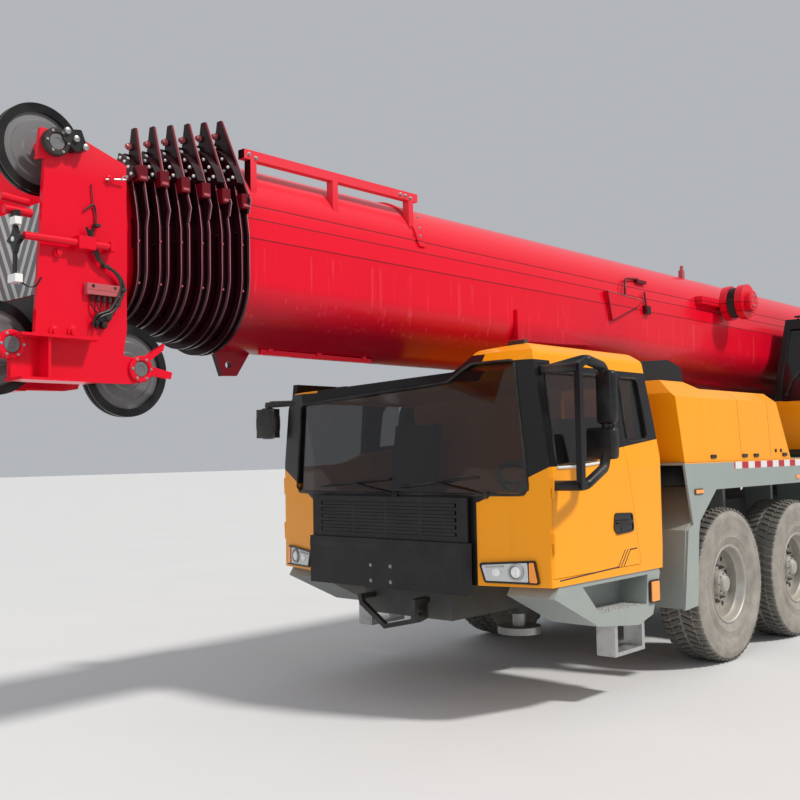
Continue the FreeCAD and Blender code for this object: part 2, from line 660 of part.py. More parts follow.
def deck():
    plate = box((DECK_REAR, DECK_FRONT), (-HALF_WIDTH, HALF_WIDTH), (DECK_Z - DECK_PLATE, DECK_Z))
    plate = plate.cut(box((HOOD_REAR + 200, HOOD_FRONT - 200), (-700, 700), (DECK_Z - 100, DECK_Z + 100)))
    rear_plate = box((REAR_DECK_REAR, SLEW_X - PEDESTAL_RADIUS + 150), (-HALF_WIDTH, HALF_WIDTH),
                     (REAR_DECK_Z - DECK_PLATE, REAR_DECK_Z))
    side_plate = box((SLEW_X - PEDESTAL_RADIUS + 100, -3300), (PEDESTAL_RADIUS + 40, HALF_WIDTH),
                     (REAR_DECK_Z - DECK_PLATE, REAR_DECK_Z))
    around = rod((SLEW_X, 0, 1400), (SLEW_X, 0, 1900), PEDESTAL_RADIUS + 5)
    supports = []
    for x in (DECK_FRONT - 320, AXLE_X["axle_2"] + 310, AXLE_X["axle_2"] - 890, DECK_REAR + 160):
        supports.append(box((x, x + 60), (FRAME_HALF_WIDTH, MUDGUARD_INNER_Y - 60),
                            (FRAME_TOP - 120, DECK_Z - DECK_PLATE)))
    for x in (AXLE_X["axle_3"] - 740, AXLE_X["axle_4"] - 220, REAR_DECK_REAR + 130):
        supports.append(box((x, x + 60), (FRAME_HALF_WIDTH, 900),
                            (FRAME_TOP - 120, REAR_DECK_Z - DECK_PLATE)))
    left = [front_mudguard(), rear_mudguard(), side_plate] + supports
    deck_solid = fused([plate, rear_plate] + both_sides(left)).cut(around)
    toolbox = box((DECK_REAR - 770, DECK_REAR + 230), (FRAME_HALF_WIDTH, 1340), (820, 1480))
    toolbox = toolbox.cut(rod((SLEW_X, 0, 800), (SLEW_X, 0, 1500), PEDESTAL_RADIUS + 5))
    return [deck_solid] + both_sides([step_box(), toolbox])


def engine_hood():
    side_outline = [
        (HOOD_FRONT - 60, DECK_Z), (HOOD_FRONT + 20, 2360), (HOOD_FRONT - 60, HOOD_TOP),
        (HOOD_STEP_X + 160, HOOD_TOP), (HOOD_STEP_X, HOOD_REAR_TOP), (HOOD_REAR + 290, HOOD_REAR_TOP),
        (HOOD_REAR, DECK_Z),
    ]
    end_outline = [
        (-1340, DECK_Z), (-1310, 2330), (-1130, HOOD_TOP), (1130, HOOD_TOP), (1310, 2330), (1340, DECK_Z),
    ]
    x_range = (HOOD_REAR - 50, HOOD_FRONT + 50)
    outer = side_prism(side_outline, (-HALF_WIDTH, HALF_WIDTH)).common(end_prism(end_outline, x_range))
    inner = side_prism(grown(side_outline, -HOOD_WALL), (-HALF_WIDTH, HALF_WIDTH))
    inner = inner.common(end_prism(grown(end_outline, -HOOD_WALL), x_range))
    foot_room = box((HOOD_REAR + 80, HOOD_FRONT - 120), (HOOD_WALL - 1330, 1330 - HOOD_WALL),
                    (DECK_Z - 10, DECK_Z + HOOD_WALL + 10))
    duct = side_prism([
        (HOOD_FRONT - 100, HOOD_TOP - 10), (HOOD_FRONT - 110, 2660), (HOOD_STEP_X - 20, 2705),
        (HOOD_STEP_X - 260, 2650), (HOOD_STEP_X - 340, HOOD_REAR_TOP - 10),
    ], (DUCT_Y[0], DUCT_Y[1]))
    return [outer.cut(inner).cut(foot_room), duct.cut(outer)]


def cab_outline(corners, inset):
    """Outline drawn in by the inset; each corner is (a, b, outer radius)."""
    plain = grown([(a, b) for a, b, radius in corners], -inset)
    return rounded(plain, [max(radius - inset, 0.2 * radius) for a, b, radius in corners])


def cab_body(inset):
    """Cab volume drawn in from its outer skin by the inset."""
    end_corners = [
        (-HALF_WIDTH, CAB_FLOOR, 0), (-HALF_WIDTH, CAB_WAIST_Z, 0), (-1280, 2300, 90),
        (-1180, CAB_ROOF_RIGHT, 70), (610, CAB_ROOF_MIDDLE, 60), (760, CAB_ROOF_LEFT - 30, 60),
        (1180, CAB_ROOF_LEFT, 80), (1270, 2590, 60),
        (HALF_WIDTH, CAB_WAIST_Z, 0), (HALF_WIDTH, CAB_FLOOR, 0),
    ]
    plan_corners = [
        (CAB_REAR, -HALF_WIDTH, 70), (CAB_CORNER_X, -HALF_WIDTH, 20),
        (CAB_FRONT - 30, -CAB_CORNER_Y, 120), (CAB_FRONT, -0.6 * CAB_CORNER_Y, 0),
        (CAB_FRONT, 0.6 * CAB_CORNER_Y, 0), (CAB_FRONT - 30, CAB_CORNER_Y, 120),
        (CAB_CORNER_X, HALF_WIDTH, 20), (CAB_REAR, HALF_WIDTH, 70),
    ]
    side_corners = [
        (CAB_REAR + 60, CAB_FLOOR, 0), (CAB_REAR, 1300, 0), (CAB_REAR + 60, 2100, 0),
        (CAB_REAR + 120, 2600, 60),
        (CAB_REAR + 200, CAB_ROOF_LEFT + 10, 40), (CAB_FRONT - 220, CAB_ROOF_LEFT + 10, 150),
        (CAB_FRONT - 90, 2480, 60), (CAB_FRONT, 1560, 0), (CAB_FRONT, CAB_FLOOR - 60, 0),
        (3790, CAB_FLOOR - 60, 0),
        (3700, CAB_FLOOR, 0),
    ]
    body = end_prism(cab_outline(end_corners, inset), (CAB_REAR - 200, CAB_FRONT + 200))
    body = body.common(plan_prism(cab_outline(plan_corners, inset), (CAB_FLOOR - 200, CAB_ROOF_LEFT + 200)))
    return body.common(side_prism(cab_outline(side_corners, inset), (-HALF_WIDTH - 100, HALF_WIDTH + 100)))


def left_side(outline, depth=200):
    return side_prism(outline, (HALF_WIDTH - depth, HALF_WIDTH + 50))


def windshield_prism():
    return end_prism(WINDSHIELD, (CAB_FRONT - 350, CAB_FRONT + 50))


def rear_window_prism():
    return box((CAB_REAR - 50, CAB_REAR + 300), (500, 1050), (2000, 2400))


def hinge_barrels(heights, way):
    """Left door hinge barrels with leaves that reach forward (way 1) or back (way -1) along the side."""
    barrels = []
    for z in heights:
        z_range = (z, z + HINGE_LENGTH)
        reach = sorted((HINGE_X, HINGE_X + way * HINGE_LEAF))
        leaf = box(reach, (HALF_WIDTH - 5, HINGE_Y), z_range)
        barrel = rod((HINGE_X, HINGE_Y, z), (HINGE_X, HINGE_Y, z + HINGE_LENGTH), HINGE_RADIUS)
        relief = box((HINGE_X - 8, HINGE_X + 8), (HALF_WIDTH - 20, HALF_WIDTH), z_range)
        barrels.append(fused([barrel, leaf]).cut(relief))
    return barrels


def carrier_cab():
    outer = cab_body(0)
    skin = outer.cut(cab_body(CAB_WALL))
    pane_layer = cab_body(GLASS_INSET).cut(cab_body(GLASS_INSET + GLASS_THICKNESS))
    door_prism = left_side(DOOR_OUTLINE)
    opening = left_side(grown(DOOR_OUTLINE, DOOR_GAP))
    window = left_side(DOOR_WINDOW)
    quarter = left_side(QUARTER_WINDOW)
    jack_room = rod((FRONT_JACK_X, 0, CAB_FLOOR - 100), (FRONT_JACK_X, 0, FRONT_JACK_TOP + 20),
                    JACK_BARREL_RADIUS + 10)
    frame_room = box((FRAME_FRONT, FRONT_FRAME_FRONT + 10), (-FRAME_HALF_WIDTH - 10, FRAME_HALF_WIDTH + 10),
                     (CAB_FLOOR - 100, FRAME_ROOM_TOP))
    tools = both_sides([opening, quarter]) + [windshield_prism(), rear_window_prism()]
    shell = cut(skin, tools)
    tunnel = box((CAB_REAR + 30, FRONT_FRAME_FRONT + 20), (-FRAME_HALF_WIDTH - 60, FRAME_HALF_WIDTH + 60),
                 (CAB_FLOOR, TUNNEL_TOP)).common(cab_body(1))
    frame_barrels = both_sides(hinge_barrels([z + HINGE_LENGTH + SEAT_GAP for z in HINGE_Z], 1))
    shell = cut(fused([shell, tunnel] + frame_barrels), [frame_room, jack_room])
    save("cab_shell", shell)
    glass = both_sides([pane_layer.common(quarter)])
    glass += [pane_layer.common(windshield_prism()), pane_layer.common(rear_window_prism())]
    save("cab_glass", glass)
    door = fused([skin.common(door_prism).cut(window)] + hinge_barrels(HINGE_Z, -1))
    door_pane = pane_layer.common(window)
    mirror = mirror_left().cut(cab_body(0))
    save("cab_door_left", fused([door] + mirror.Solids))
    save("cab_door_right", mirrored(door))
    save("cab_door_left_glass", door_pane)
    save("cab_door_right_glass", mirrored(door_pane))


def cab_interior():
    pieces = []
    for y in (-880, 880):
        base = box((2750, 3150), (y - 200, y + 200), (CAB_FLOOR + CAB_WALL, 1330))
        cushion = box((2700, 3200), (y - 250, y + 250), (1330, 1450))
        back = side_prism([(2640, 1430), (2760, 1430), (2640, 2150), (2540, 2150)], (y - 240, y + 240))
        pieces.append(fused([base, cushion, back]))
    dash = box((3560, 3860), (-1250, 1250), (1250, 1560)).common(cab_body(CAB_WALL + SEAT_GAP))
    dash_foot = box((3560, 3700), (-450, 450), (TUNNEL_TOP, 1260))
    column = rod((3600, 880, 1480), (3390, 880, 1656), 30)
    wheel_axis = V(-0.66, 0, 0.75)
    wheel = Part.makeCylinder(230, 30, V(3400, 880, 1645), wheel_axis)
    wheel = wheel.cut(Part.makeCylinder(198, 60, V(3410, 880, 1634), wheel_axis))
    spoke = rod((3390, 665, 1656), (3390, 1095, 1656), 14)
    pieces.append(fused([dash, dash_foot, column, wheel, spoke]))
    return pieces


def front_panel():
    """Dark grille panel between the corner panels, over the bumper plate."""
    panel = box((CAB_FRONT + SEAT_GAP, CAB_FRONT + 25), (-800, 800), (1250, 1570))
    slots = []
    for row in range(5):
        z = 1290 + 52 * row
        slots.append(box((CAB_FRONT - 10, CAB_FRONT + 40), (-700, 700), (z, z + 26)))
    ribs = []
    for y in (-350, 0, 350):
        ribs.append(box((CAB_FRONT + SEAT_GAP, CAB_FRONT + 25), (y - 15, y + 15), (1260, 1560)))
    grille = fused([cut(panel, slots)] + ribs)
    bumper = plan_prism([
        (CAB_FRONT + SEAT_GAP, -820), (CAB_FRONT + SEAT_GAP, 820),
        (CAB_FRONT + 60, 800), (CAB_FRONT + 60, -800),
    ], (880, 1250))
    return fused([grille, bumper])


def mirror_left():
    """Loop-shaped arm on the door with the main and the wide-angle mirror heads behind it."""
    loop = side_prism(MIRROR_LOOP, MIRROR_BAR_Y)
    loop = loop.cut(side_prism(grown(MIRROR_LOOP, -MIRROR_BAR), (0, 2 * HALF_WIDTH)))
    root = max(x for x, z in MIRROR_LOOP)
    roots = []
    for z in (2434, 1625):
        roots.append(box((root - MIRROR_BAR, root), (HALF_WIDTH - 90, MIRROR_BAR_Y[1]), (z, z + MIRROR_BAR)))
    tip = min(x for x, z in MIRROR_LOOP)
    heads = [
        box((tip, tip + 60), (MIRROR_BAR_Y[0] - 30, MIRROR_OUTER_Y), (2080, 2440)),
        box((tip, tip + 60), (MIRROR_BAR_Y[0] - 120, MIRROR_OUTER_Y), (1830, 2040)),
    ]
    return fused([loop] + roots + heads)


def mirror_right():
    head = box((3800, 3860), (-MIRROR_OUTER_Y, -MIRROR_OUTER_Y + 240), (2050, 2300))
    arm = rod((3830, -1000, 2330), (3830, -1560, 2330), 18)
    drop = rod((3830, -1540, 2360), (3830, -1540, 2290), 22)
    return fused([head, arm, drop]).cut(cab_body(-SEAT_GAP))


def cab_fittings():
    tow_half = TOW_EYE_THICKNESS / 2
    tow = side_prism([
        (FRONT_FRAME_FRONT, TOW_EYE_Z + 100), (TOW_EYE_X + 10, TOW_EYE_Z + 100),
        (TOW_EYE_X + TOW_EYE_NOSE, TOW_EYE_Z + 40), (TOW_EYE_X + TOW_EYE_NOSE, TOW_EYE_Z - 40),
        (TOW_EYE_X + 10, TOW_EYE_Z - 80), (FRONT_FRAME_FRONT, TOW_EYE_Z - 60),
    ], (TOW_EYE_Y - tow_half, TOW_EYE_Y + tow_half))
    tow = tow.cut(pin_along_y(TOW_EYE_X, TOW_EYE_Z, (TOW_EYE_Y - 100, TOW_EYE_Y + 100), TOW_EYE_RADIUS))
    step_x = (TOW_EYE_X + TOW_EYE_NOSE + 6, TOW_EYE_X + TOW_EYE_NOSE + 46)
    step = end_prism(band_along(FRONT_STEP, FRONT_STEP_BAR), step_x)
    mounts = []
    for y, z in (FRONT_STEP[0], FRONT_STEP[-1]):
        reach = sorted((y - FRONT_STEP_BAR / 2, y + FRONT_STEP_BAR / 2))
        mounts.append(box((FRONT_FRAME_FRONT, step_x[1]), reach, (z - FRONT_STEP_BAR, z)))
    step = fused([step] + mounts)
    hanger = fused([
        box((2500, 2540), (1180, 1340), (360, 660)), box((2900, 2940), (1180, 1340), (360, 660)),
        box((2500, 2940), (1180, 1340), (345, 375)),
    ])
    hanger = hanger.cut(side_prism(grown(STEP_BOX_OUTLINE, SEAT_GAP), (900, 1400)))
    return [step, tow, mirror_right()] + both_sides([hanger])


def lamps():
    head = box((3800, 4000), (900, 1200), (985, 1090)).common(cab_body(-LAMP_DEPTH)).cut(cab_body(-SEAT_GAP))
    rear = box((FRAME_REAR - 130, FRAME_REAR - 90), (800, 1200), (760, 900))
    return both_sides([head, rear])


# Superstructure and boom

def side_plate(y_range):
    """Boom-foot plate of the turntable, from its front toe up to the boom pivot and back to the winch."""
    return side_prism([
        (TURNTABLE_FRONT, TURNTABLE_TOP), (TURNTABLE_FRONT, 2150), (BOOM_PIVOT_X + 1350, 2380),
        (BOOM_PIVOT_X + 240, BOOM_PIVOT_Z + 100), (BOOM_PIVOT_X + 100, BOOM_PIVOT_Z + 190),
        (BOOM_PIVOT_X - 100, BOOM_PIVOT_Z + 190), (BOOM_PIVOT_X - 260, BOOM_PIVOT_Z + 60),
        (WINCH_X - 300, 2560), (COUNTERWEIGHT_FRONT, 2500), (COUNTERWEIGHT_FRONT, TURNTABLE_TOP + 50),
        (BOOM_PIVOT_X + 550, TURNTABLE_TOP),
    ], y_range)


def turntable():
    plate = rod((SLEW_X, 0, TURNTABLE_BOTTOM), (SLEW_X, 0, TURNTABLE_TOP), TURNTABLE_RADIUS)
    floor = box((COUNTERWEIGHT_FRONT, TURNTABLE_FRONT), (-SIDE_PLATE_INNER_Y - 20, SIDE_PLATE_INNER_Y + 20),
                (TURNTABLE_TOP, TURNTABLE_TOP + 30))
    outer_y = SIDE_PLATE_INNER_Y + SIDE_PLATE_THICKNESS
    plates = both_sides([side_plate((SIDE_PLATE_INNER_Y, outer_y))])
    pin = pin_along_y(BOOM_PIVOT_X, BOOM_PIVOT_Z, (-outer_y - 30, outer_y + 30), BOOM_PIN_RADIUS)
    foot_pin = pin_along_y(CYLINDER_FOOT_X, CYLINDER_FOOT_Z, (-200, 200), CYLINDER_PIN_RADIUS)
    ears = []
    for y in (-200, 150):
        ears.append(box((CYLINDER_FOOT_X - 110, CYLINDER_FOOT_X + 110), (y, y + 50),
                        (TURNTABLE_TOP, CYLINDER_FOOT_Z + 110)))
    winch_shaft = pin_along_y(WINCH_X, WINCH_Z, (-outer_y, outer_y), WINCH_SHAFT_RADIUS)
    cab_arm = box((OPERATOR_CAB_X[0] + 400, OPERATOR_CAB_X[1] - 320),
                  (SIDE_PLATE_INNER_Y, OPERATOR_CAB_Y[1] - 60), (TURNTABLE_TOP, OPERATOR_CAB_Z[0]))
    housing = box((-5300, -3100), (-1340, -outer_y), (TURNTABLE_TOP + 30, 2650))
    return fused([plate, floor, pin, foot_pin, winch_shaft, cab_arm, housing] + plates + ears)


def winch_drum():
    half = SIDE_PLATE_INNER_Y - 20
    bore = WINCH_SHAFT_RADIUS + RUNNING_CLEARANCE
    return turned_about_y([
        (-half, bore), (half, bore), (half, WINCH_FLANGE_RADIUS), (half - 25, WINCH_FLANGE_RADIUS),
        (half - 25, WINCH_DRUM_RADIUS), (25 - half, WINCH_DRUM_RADIUS), (25 - half, WINCH_FLANGE_RADIUS),
        (-half, WINCH_FLANGE_RADIUS),
    ], (WINCH_X, 0, WINCH_Z))


def counterweight():
    return side_prism([
        (COUNTERWEIGHT_FRONT, COUNTERWEIGHT_BOTTOM), (COUNTERWEIGHT_FRONT, COUNTERWEIGHT_TOP),
        (COUNTERWEIGHT_REAR + 120, COUNTERWEIGHT_TOP), (COUNTERWEIGHT_REAR, COUNTERWEIGHT_TOP - 200),
        (COUNTERWEIGHT_REAR, COUNTERWEIGHT_BOTTOM),
    ], (-1350, 1350))


def operator_cab():
    x0, x1 = OPERATOR_CAB_X
    z0, z1 = OPERATOR_CAB_Z
    outline = [(x0, z0), (x0, z1 - 120), (x0 + 150, z1), (x1 - 420, z1), (x1 - 60, z0 + 820),
               (x1, z0 + 480), (x1 - 120, z0)]
    outer = side_prism(outline, OPERATOR_CAB_Y)
    inner_y = (OPERATOR_CAB_Y[0] + OPERATOR_CAB_WALL, OPERATOR_CAB_Y[1] - OPERATOR_CAB_WALL)
    inner = side_prism(grown(outline, -OPERATOR_CAB_WALL), inner_y)
    skin = outer.cut(inner)
    y0, y1 = OPERATOR_CAB_Y
    middle = (y0 + 80, y1 - 80)
    door_hole = side_prism([(x0 + 700, z0 + 90), (x0 + 700, z1 - 130), (x1 - 500, z1 - 130),
                            (x1 - 190, z0 + 800), (x1 - 190, z0 + 90)], (y1 - 100, y1 + 50))
    side_window = box((x0 + 120, x0 + 620), (y0 - 50, y1 + 50), (z0 + 800, z1 - 220))
    inner_window = side_prism([(x0 + 760, z0 + 800), (x0 + 760, z1 - 220), (x1 - 560, z1 - 220),
                               (x1 - 320, z0 + 800)], (y0 - 50, y0 + 100))
    front_window = box((x1 - 480, x1 + 60), middle, (z0 + 560, z1 - 130))
    front_window = front_window.cut(box((x1 - 480, x1 - 330), middle, (z0 + 560, z0 + 900)))
    openings = [side_window, inner_window, front_window, door_hole]
    seat_y = (y0 + 170, y1 - 170)
    seat = [
        box((x0 + 380, x0 + 760), (y0 + 250, y1 - 250), (z0 + 20, z0 + 420)),
        box((x0 + 320, x0 + 840), seat_y, (z0 + 420, z0 + 530)),
        side_prism([(x0 + 260, z0 + 480), (x0 + 380, z0 + 480), (x0 + 290, z0 + 1180),
                    (x0 + 190, z0 + 1180)], seat_y),
    ]
    save("operator_cab_shell", fused([cut(skin, openings)] + seat))
    pane = side_prism(grown(outline, -GLASS_INSET), (y0 + GLASS_INSET, y1 - GLASS_INSET))
    pane = pane.cut(side_prism(grown(outline, -GLASS_INSET - GLASS_THICKNESS),
                               (y0 + GLASS_INSET + GLASS_THICKNESS, y1 - GLASS_INSET - GLASS_THICKNESS)))
    save("operator_cab_glass", [pane.common(tool) for tool in (side_window, inner_window, front_window)])
    door_y = (y1 + 5, y1 + 5 + OPERATOR_DOOR_THICKNESS)
    door = side_prism([(x0 + 660, z0 + 60), (x0 + 660, z1 - 90), (x1 - 480, z1 - 90), (x1 - 150, z0 + 810),
                       (x1 - 150, z0 + 60)], door_y)
    door_window = side_prism([(x0 + 760, z0 + 650), (x0 + 760, z1 - 190), (x1 - 540, z1 - 190),
                              (x1 - 260, z0 + 650)], (door_y[0] - 10, door_y[1] + 10))
    runner_y = (y1 + SEAT_GAP, door_y[0] + 2)
    runners = [box((x0 + 670, x1 - 500), runner_y, (z, z + 22)) for z in (z0 + 62, z1 - 122)]
    save("operator_cab_door", fused([door.cut(door_window)] + runners))
    pane_layer = box((x0, x1), (door_y[0] + 14, door_y[0] + 14 + GLASS_THICKNESS), (z0, z1))
    save("operator_cab_door_glass", door_window.common(pane_layer))


def luff_direction():
    start = V(CYLINDER_FOOT_X, 0, CYLINDER_FOOT_Z)
    end = V(ROD_EYE_X, 0, ROD_EYE_Z)
    return start, end, (end - start).normalize()


def luffing_barrel():
    start, end, way = luff_direction()
    length = (end - start).Length
    eye = pin_along_y(start.x, start.z, (-140, 140), 105)
    tube_start = start + way * 60
    barrel = Part.makeCylinder(CYLINDER_BARREL_RADIUS, length - 330, tube_start, way)
    bore = Part.makeCylinder(CYLINDER_ROD_RADIUS + RUNNING_CLEARANCE, length, start + way * 160, way)
    pin_bore = pin_along_y(start.x, start.z, (-160, 160), CYLINDER_PIN_RADIUS + RUNNING_CLEARANCE)
    return fused([eye, barrel]).cut(bore).cut(pin_bore)


def luffing_rod():
    start, end, way = luff_direction()
    length = (end - start).Length
    shaft = Part.makeCylinder(CYLINDER_ROD_RADIUS, length - 290, start + way * 200, way)
    eye = pin_along_y(end.x, end.z, (-ROD_EYE_HALF_WIDTH, ROD_EYE_HALF_WIDTH), 95)
    return fused([shaft, eye])


def boom_profile(inset, x, wall=0.0):
    """Boom cross-section drawn in by the inset: round crown, folded side plates and round belly."""
    drawn_in = inset + wall
    width = BOOM_HALF_WIDTH - drawn_in
    bottom = BOOM_BOTTOM + drawn_in
    belly = bottom + width
    radius = BOOM_CROWN_RADIUS - drawn_in
    crown = BOOM_TOP - BOOM_CROWN_RADIUS
    turn = math.radians(BOOM_CROWN_END)
    line = [V(x, radius * math.cos(turn), crown + radius * math.sin(turn))]
    for drop, from_side, slope in BOOM_FOLDS:
        way = math.radians(slope)
        line.append(V(x, BOOM_HALF_WIDTH - from_side - drawn_in * math.cos(way),
                      BOOM_TOP - drop - drawn_in * math.sin(way)))
    line.append(V(x, width, belly))
    opposite = [V(point.x, -point.y, point.z) for point in line]
    edges = [Part.Arc(opposite[0], V(x, 0, crown + radius), line[0]).toShape()]
    edges += [Part.LineSegment(line[i], line[i + 1]).toShape() for i in range(len(line) - 1)]
    edges.append(Part.Arc(line[-1], V(x, 0, bottom), opposite[-1]).toShape())
    edges += [Part.LineSegment(opposite[i], opposite[i - 1]).toShape() for i in range(len(line) - 1, 0, -1)]
    return Part.Face(Part.Wire(edges))


def boom_tube(inset, x_range):
    length = V(x_range[1] - x_range[0], 0, 0)
    outer = boom_profile(inset, x_range[0]).extrude(length)
    inner = boom_profile(inset, x_range[0], BOOM_WALL).extrude(length)
    return outer.cut(inner)


def collar_and_fin(index, x_front):
    """Stiffening collar round the section's mouth; its rear plate rises to a tall point left of the top."""
    inset = index * SECTION_STEP
    length = V(COLLAR_LENGTH, 0, 0)
    x = x_front - COLLAR_LENGTH
    hollow = boom_profile(inset, x, BOOM_WALL).extrude(length)
    band = boom_profile(inset - COLLAR_DEPTH, x).extrude(length)
    channel = V(COLLAR_LENGTH - FIN_THICKNESS - COLLAR_FLANGE, 0, 0)
    groove = boom_profile(inset - COLLAR_DEPTH - 1, x + FIN_THICKNESS).extrude(channel)
    band = band.cut(groove.cut(boom_profile(inset - COLLAR_WEB_DEPTH, x + FIN_THICKNESS).extrude(channel)))
    reach = BOOM_HALF_WIDTH - inset + COLLAR_DEPTH
    shoulder = BOOM_TOP - inset - BOOM_SHOULDER_DROP
    apex = BOOM_FIN_TOP - index * FIN_TOP_STEP
    low_top = FIN_LOW_TOP - index * FIN_TOP_STEP
    fin = end_prism([
        (-reach, shoulder - 80), (reach, shoulder - 80), (reach + 20, shoulder),
        (FIN_TIP_Y + FIN_TIP_HALF_WIDTH, apex), (FIN_TIP_Y - FIN_TIP_HALF_WIDTH, apex),
        (FIN_TIP_Y - 2.5 * FIN_TIP_HALF_WIDTH, low_top), (-0.5 * FIN_TIP_Y, low_top), (-reach, shoulder),
    ], (x, x + FIN_THICKNESS))
    return fused([band, fin]).cut(hollow)


def slide_pads(inset_outer, inset_inner, x_range, regions):
    """Pads that fill the ring between two nested outlines, kept only inside the given (y, z) regions."""
    length = V(x_range[1] - x_range[0], 0, 0)
    ring = boom_profile(inset_outer, x_range[0]).extrude(length)
    ring = ring.cut(boom_profile(inset_inner, x_range[0]).extrude(length))
    return [ring.common(box(x_range, y_range, z_range)) for y_range, z_range in regions]


def mouth_pads(index, x_front):
    """Pads inside a section's mouth that carry the next section, under it and at its shoulders."""
    inset = index * SECTION_STEP
    shoulder = BOOM_TOP - inset - BOOM_SHOULDER_DROP
    side = (shoulder - 200, shoulder - 30)
    belly = (BOOM_BOTTOM - 100, BOOM_BOTTOM + 400)
    regions = [((-150, 150), belly), ((-600, -100), side), ((100, 600), side)]
    inner = inset + SECTION_STEP - SEAT_GAP
    return slide_pads(inset + BOOM_WALL - 1, inner, (x_front - 55, x_front), regions)


def tail_pads(index, x_rear):
    """Pads on top of a section's tail that bear against the section around it."""
    inset = index * SECTION_STEP
    outer = inset - SECTION_STEP + BOOM_WALL + SEAT_GAP
    region = ((-160, 160), (BOOM_TOP - 500, BOOM_TOP + 100))
    return slide_pads(outer, inset + 1, (x_rear, x_rear + 180), [region])


def section_ends(index):
    rear = BASE_SECTION_REAR + 600 + index * SECTION_REAR_PITCH if index else BASE_SECTION_REAR
    return rear, BASE_COLLAR_FRONT + index * COLLAR_PITCH


def boom_section(index):
    """Pieces of one section with a collar, to be fused."""
    x_rear, x_front = section_ends(index)
    pieces = [boom_tube(index * SECTION_STEP, (x_rear, x_front)), collar_and_fin(index, x_front)]
    pieces += mouth_pads(index, x_front)
    return pieces + (tail_pads(index, x_rear) if index else [])


def base_section_fittings():
    """Cylinder ears and storage lug under the section, and the rail, wedges, bracket and reel on it."""
    half = BOOM_HALF_WIDTH
    pin = pin_along_y(ROD_EYE_X, ROD_EYE_Z, (ROD_EYE_HALF_WIDTH + 2, 175), CYLINDER_PIN_RADIUS)
    ear = side_prism([
        (ROD_EYE_X - 260, BOOM_BOTTOM + 60), (ROD_EYE_X - 90, ROD_EYE_Z - 40),
        (ROD_EYE_X - 40, ROD_EYE_Z - 90), (ROD_EYE_X + 40, ROD_EYE_Z - 90),
        (ROD_EYE_X + 90, ROD_EYE_Z - 40), (ROD_EYE_X + 260, BOOM_BOTTOM + 60),
    ], (110, 160))
    ears = both_sides([fused([ear, pin])])
    lug_x, lug_z = STORAGE_LUG_X, STORAGE_LUG_Z
    lug = side_prism([
        (lug_x - 190, BOOM_BOTTOM + 20), (lug_x - 70, lug_z - 70), (lug_x + 50, lug_z - 75),
        (lug_x + 120, BOOM_BOTTOM + 20),
    ], (-STORAGE_LUG_THICKNESS / 2, STORAGE_LUG_THICKNESS / 2))
    lug = lug.cut(pin_along_y(lug_x, lug_z, (-100, 100), STORAGE_LUG_RADIUS))
    rail = [box(RAIL_X, RAIL_Y, RAIL_Z)]
    for x in RAIL_FEET_X:
        rail.append(box((x, x + 50), RAIL_Y, (BOOM_TOP - BOOM_SHOULDER_DROP, RAIL_Z[0])))
    length = V(RAIL_X[1] - RAIL_X[0], 0, 0)
    layer = boom_profile(-STRAP_THICKNESS, RAIL_X[0] - 100).extrude(length)
    rail.append(side_prism(STRAP, (0, HALF_WIDTH)).common(layer))
    wedge = side_prism(REST_WEDGE, (half - 120, half + 30))
    bracket = side_prism(SIDE_BRACKET, (half - 100, half + 25))
    reel_y = half
    reel = []
    for reach, radius in REEL_STEPS:
        reel.append(pin_along_y(REEL_X, REEL_Z, (reel_y, half + reach), radius))
        reel_y = half + reach
    reel.append(box((REEL_X, REEL_X + 600), (half - 100, half + 40), (REEL_Z - 50, REEL_Z + 30)))
    return ears + [lug, fused(rail), bracket, fused(reel)] + both_sides([wedge])


def base_section():
    boss_end = SIDE_PLATE_INNER_Y - MOVING_GAP
    boss = pin_along_y(BOOM_PIVOT_X, BOOM_PIVOT_Z, (-boss_end, boss_end), 160)
    pin_bore = pin_along_y(BOOM_PIVOT_X, BOOM_PIVOT_Z, (-600, 600), BOOM_PIN_RADIUS + RUNNING_CLEARANCE)
    section = fused(boom_section(0) + [boss]).cut(pin_bore)
    filled = boom_profile(0, BASE_SECTION_REAR).extrude(V(BASE_COLLAR_FRONT - BASE_SECTION_REAR, 0, 0))
    collar = boom_profile(-COLLAR_DEPTH, BASE_COLLAR_FRONT - COLLAR_LENGTH).extrude(V(COLLAR_LENGTH, 0, 0))
    return [section] + [piece.cut(filled).cut(collar) for piece in base_section_fittings()]


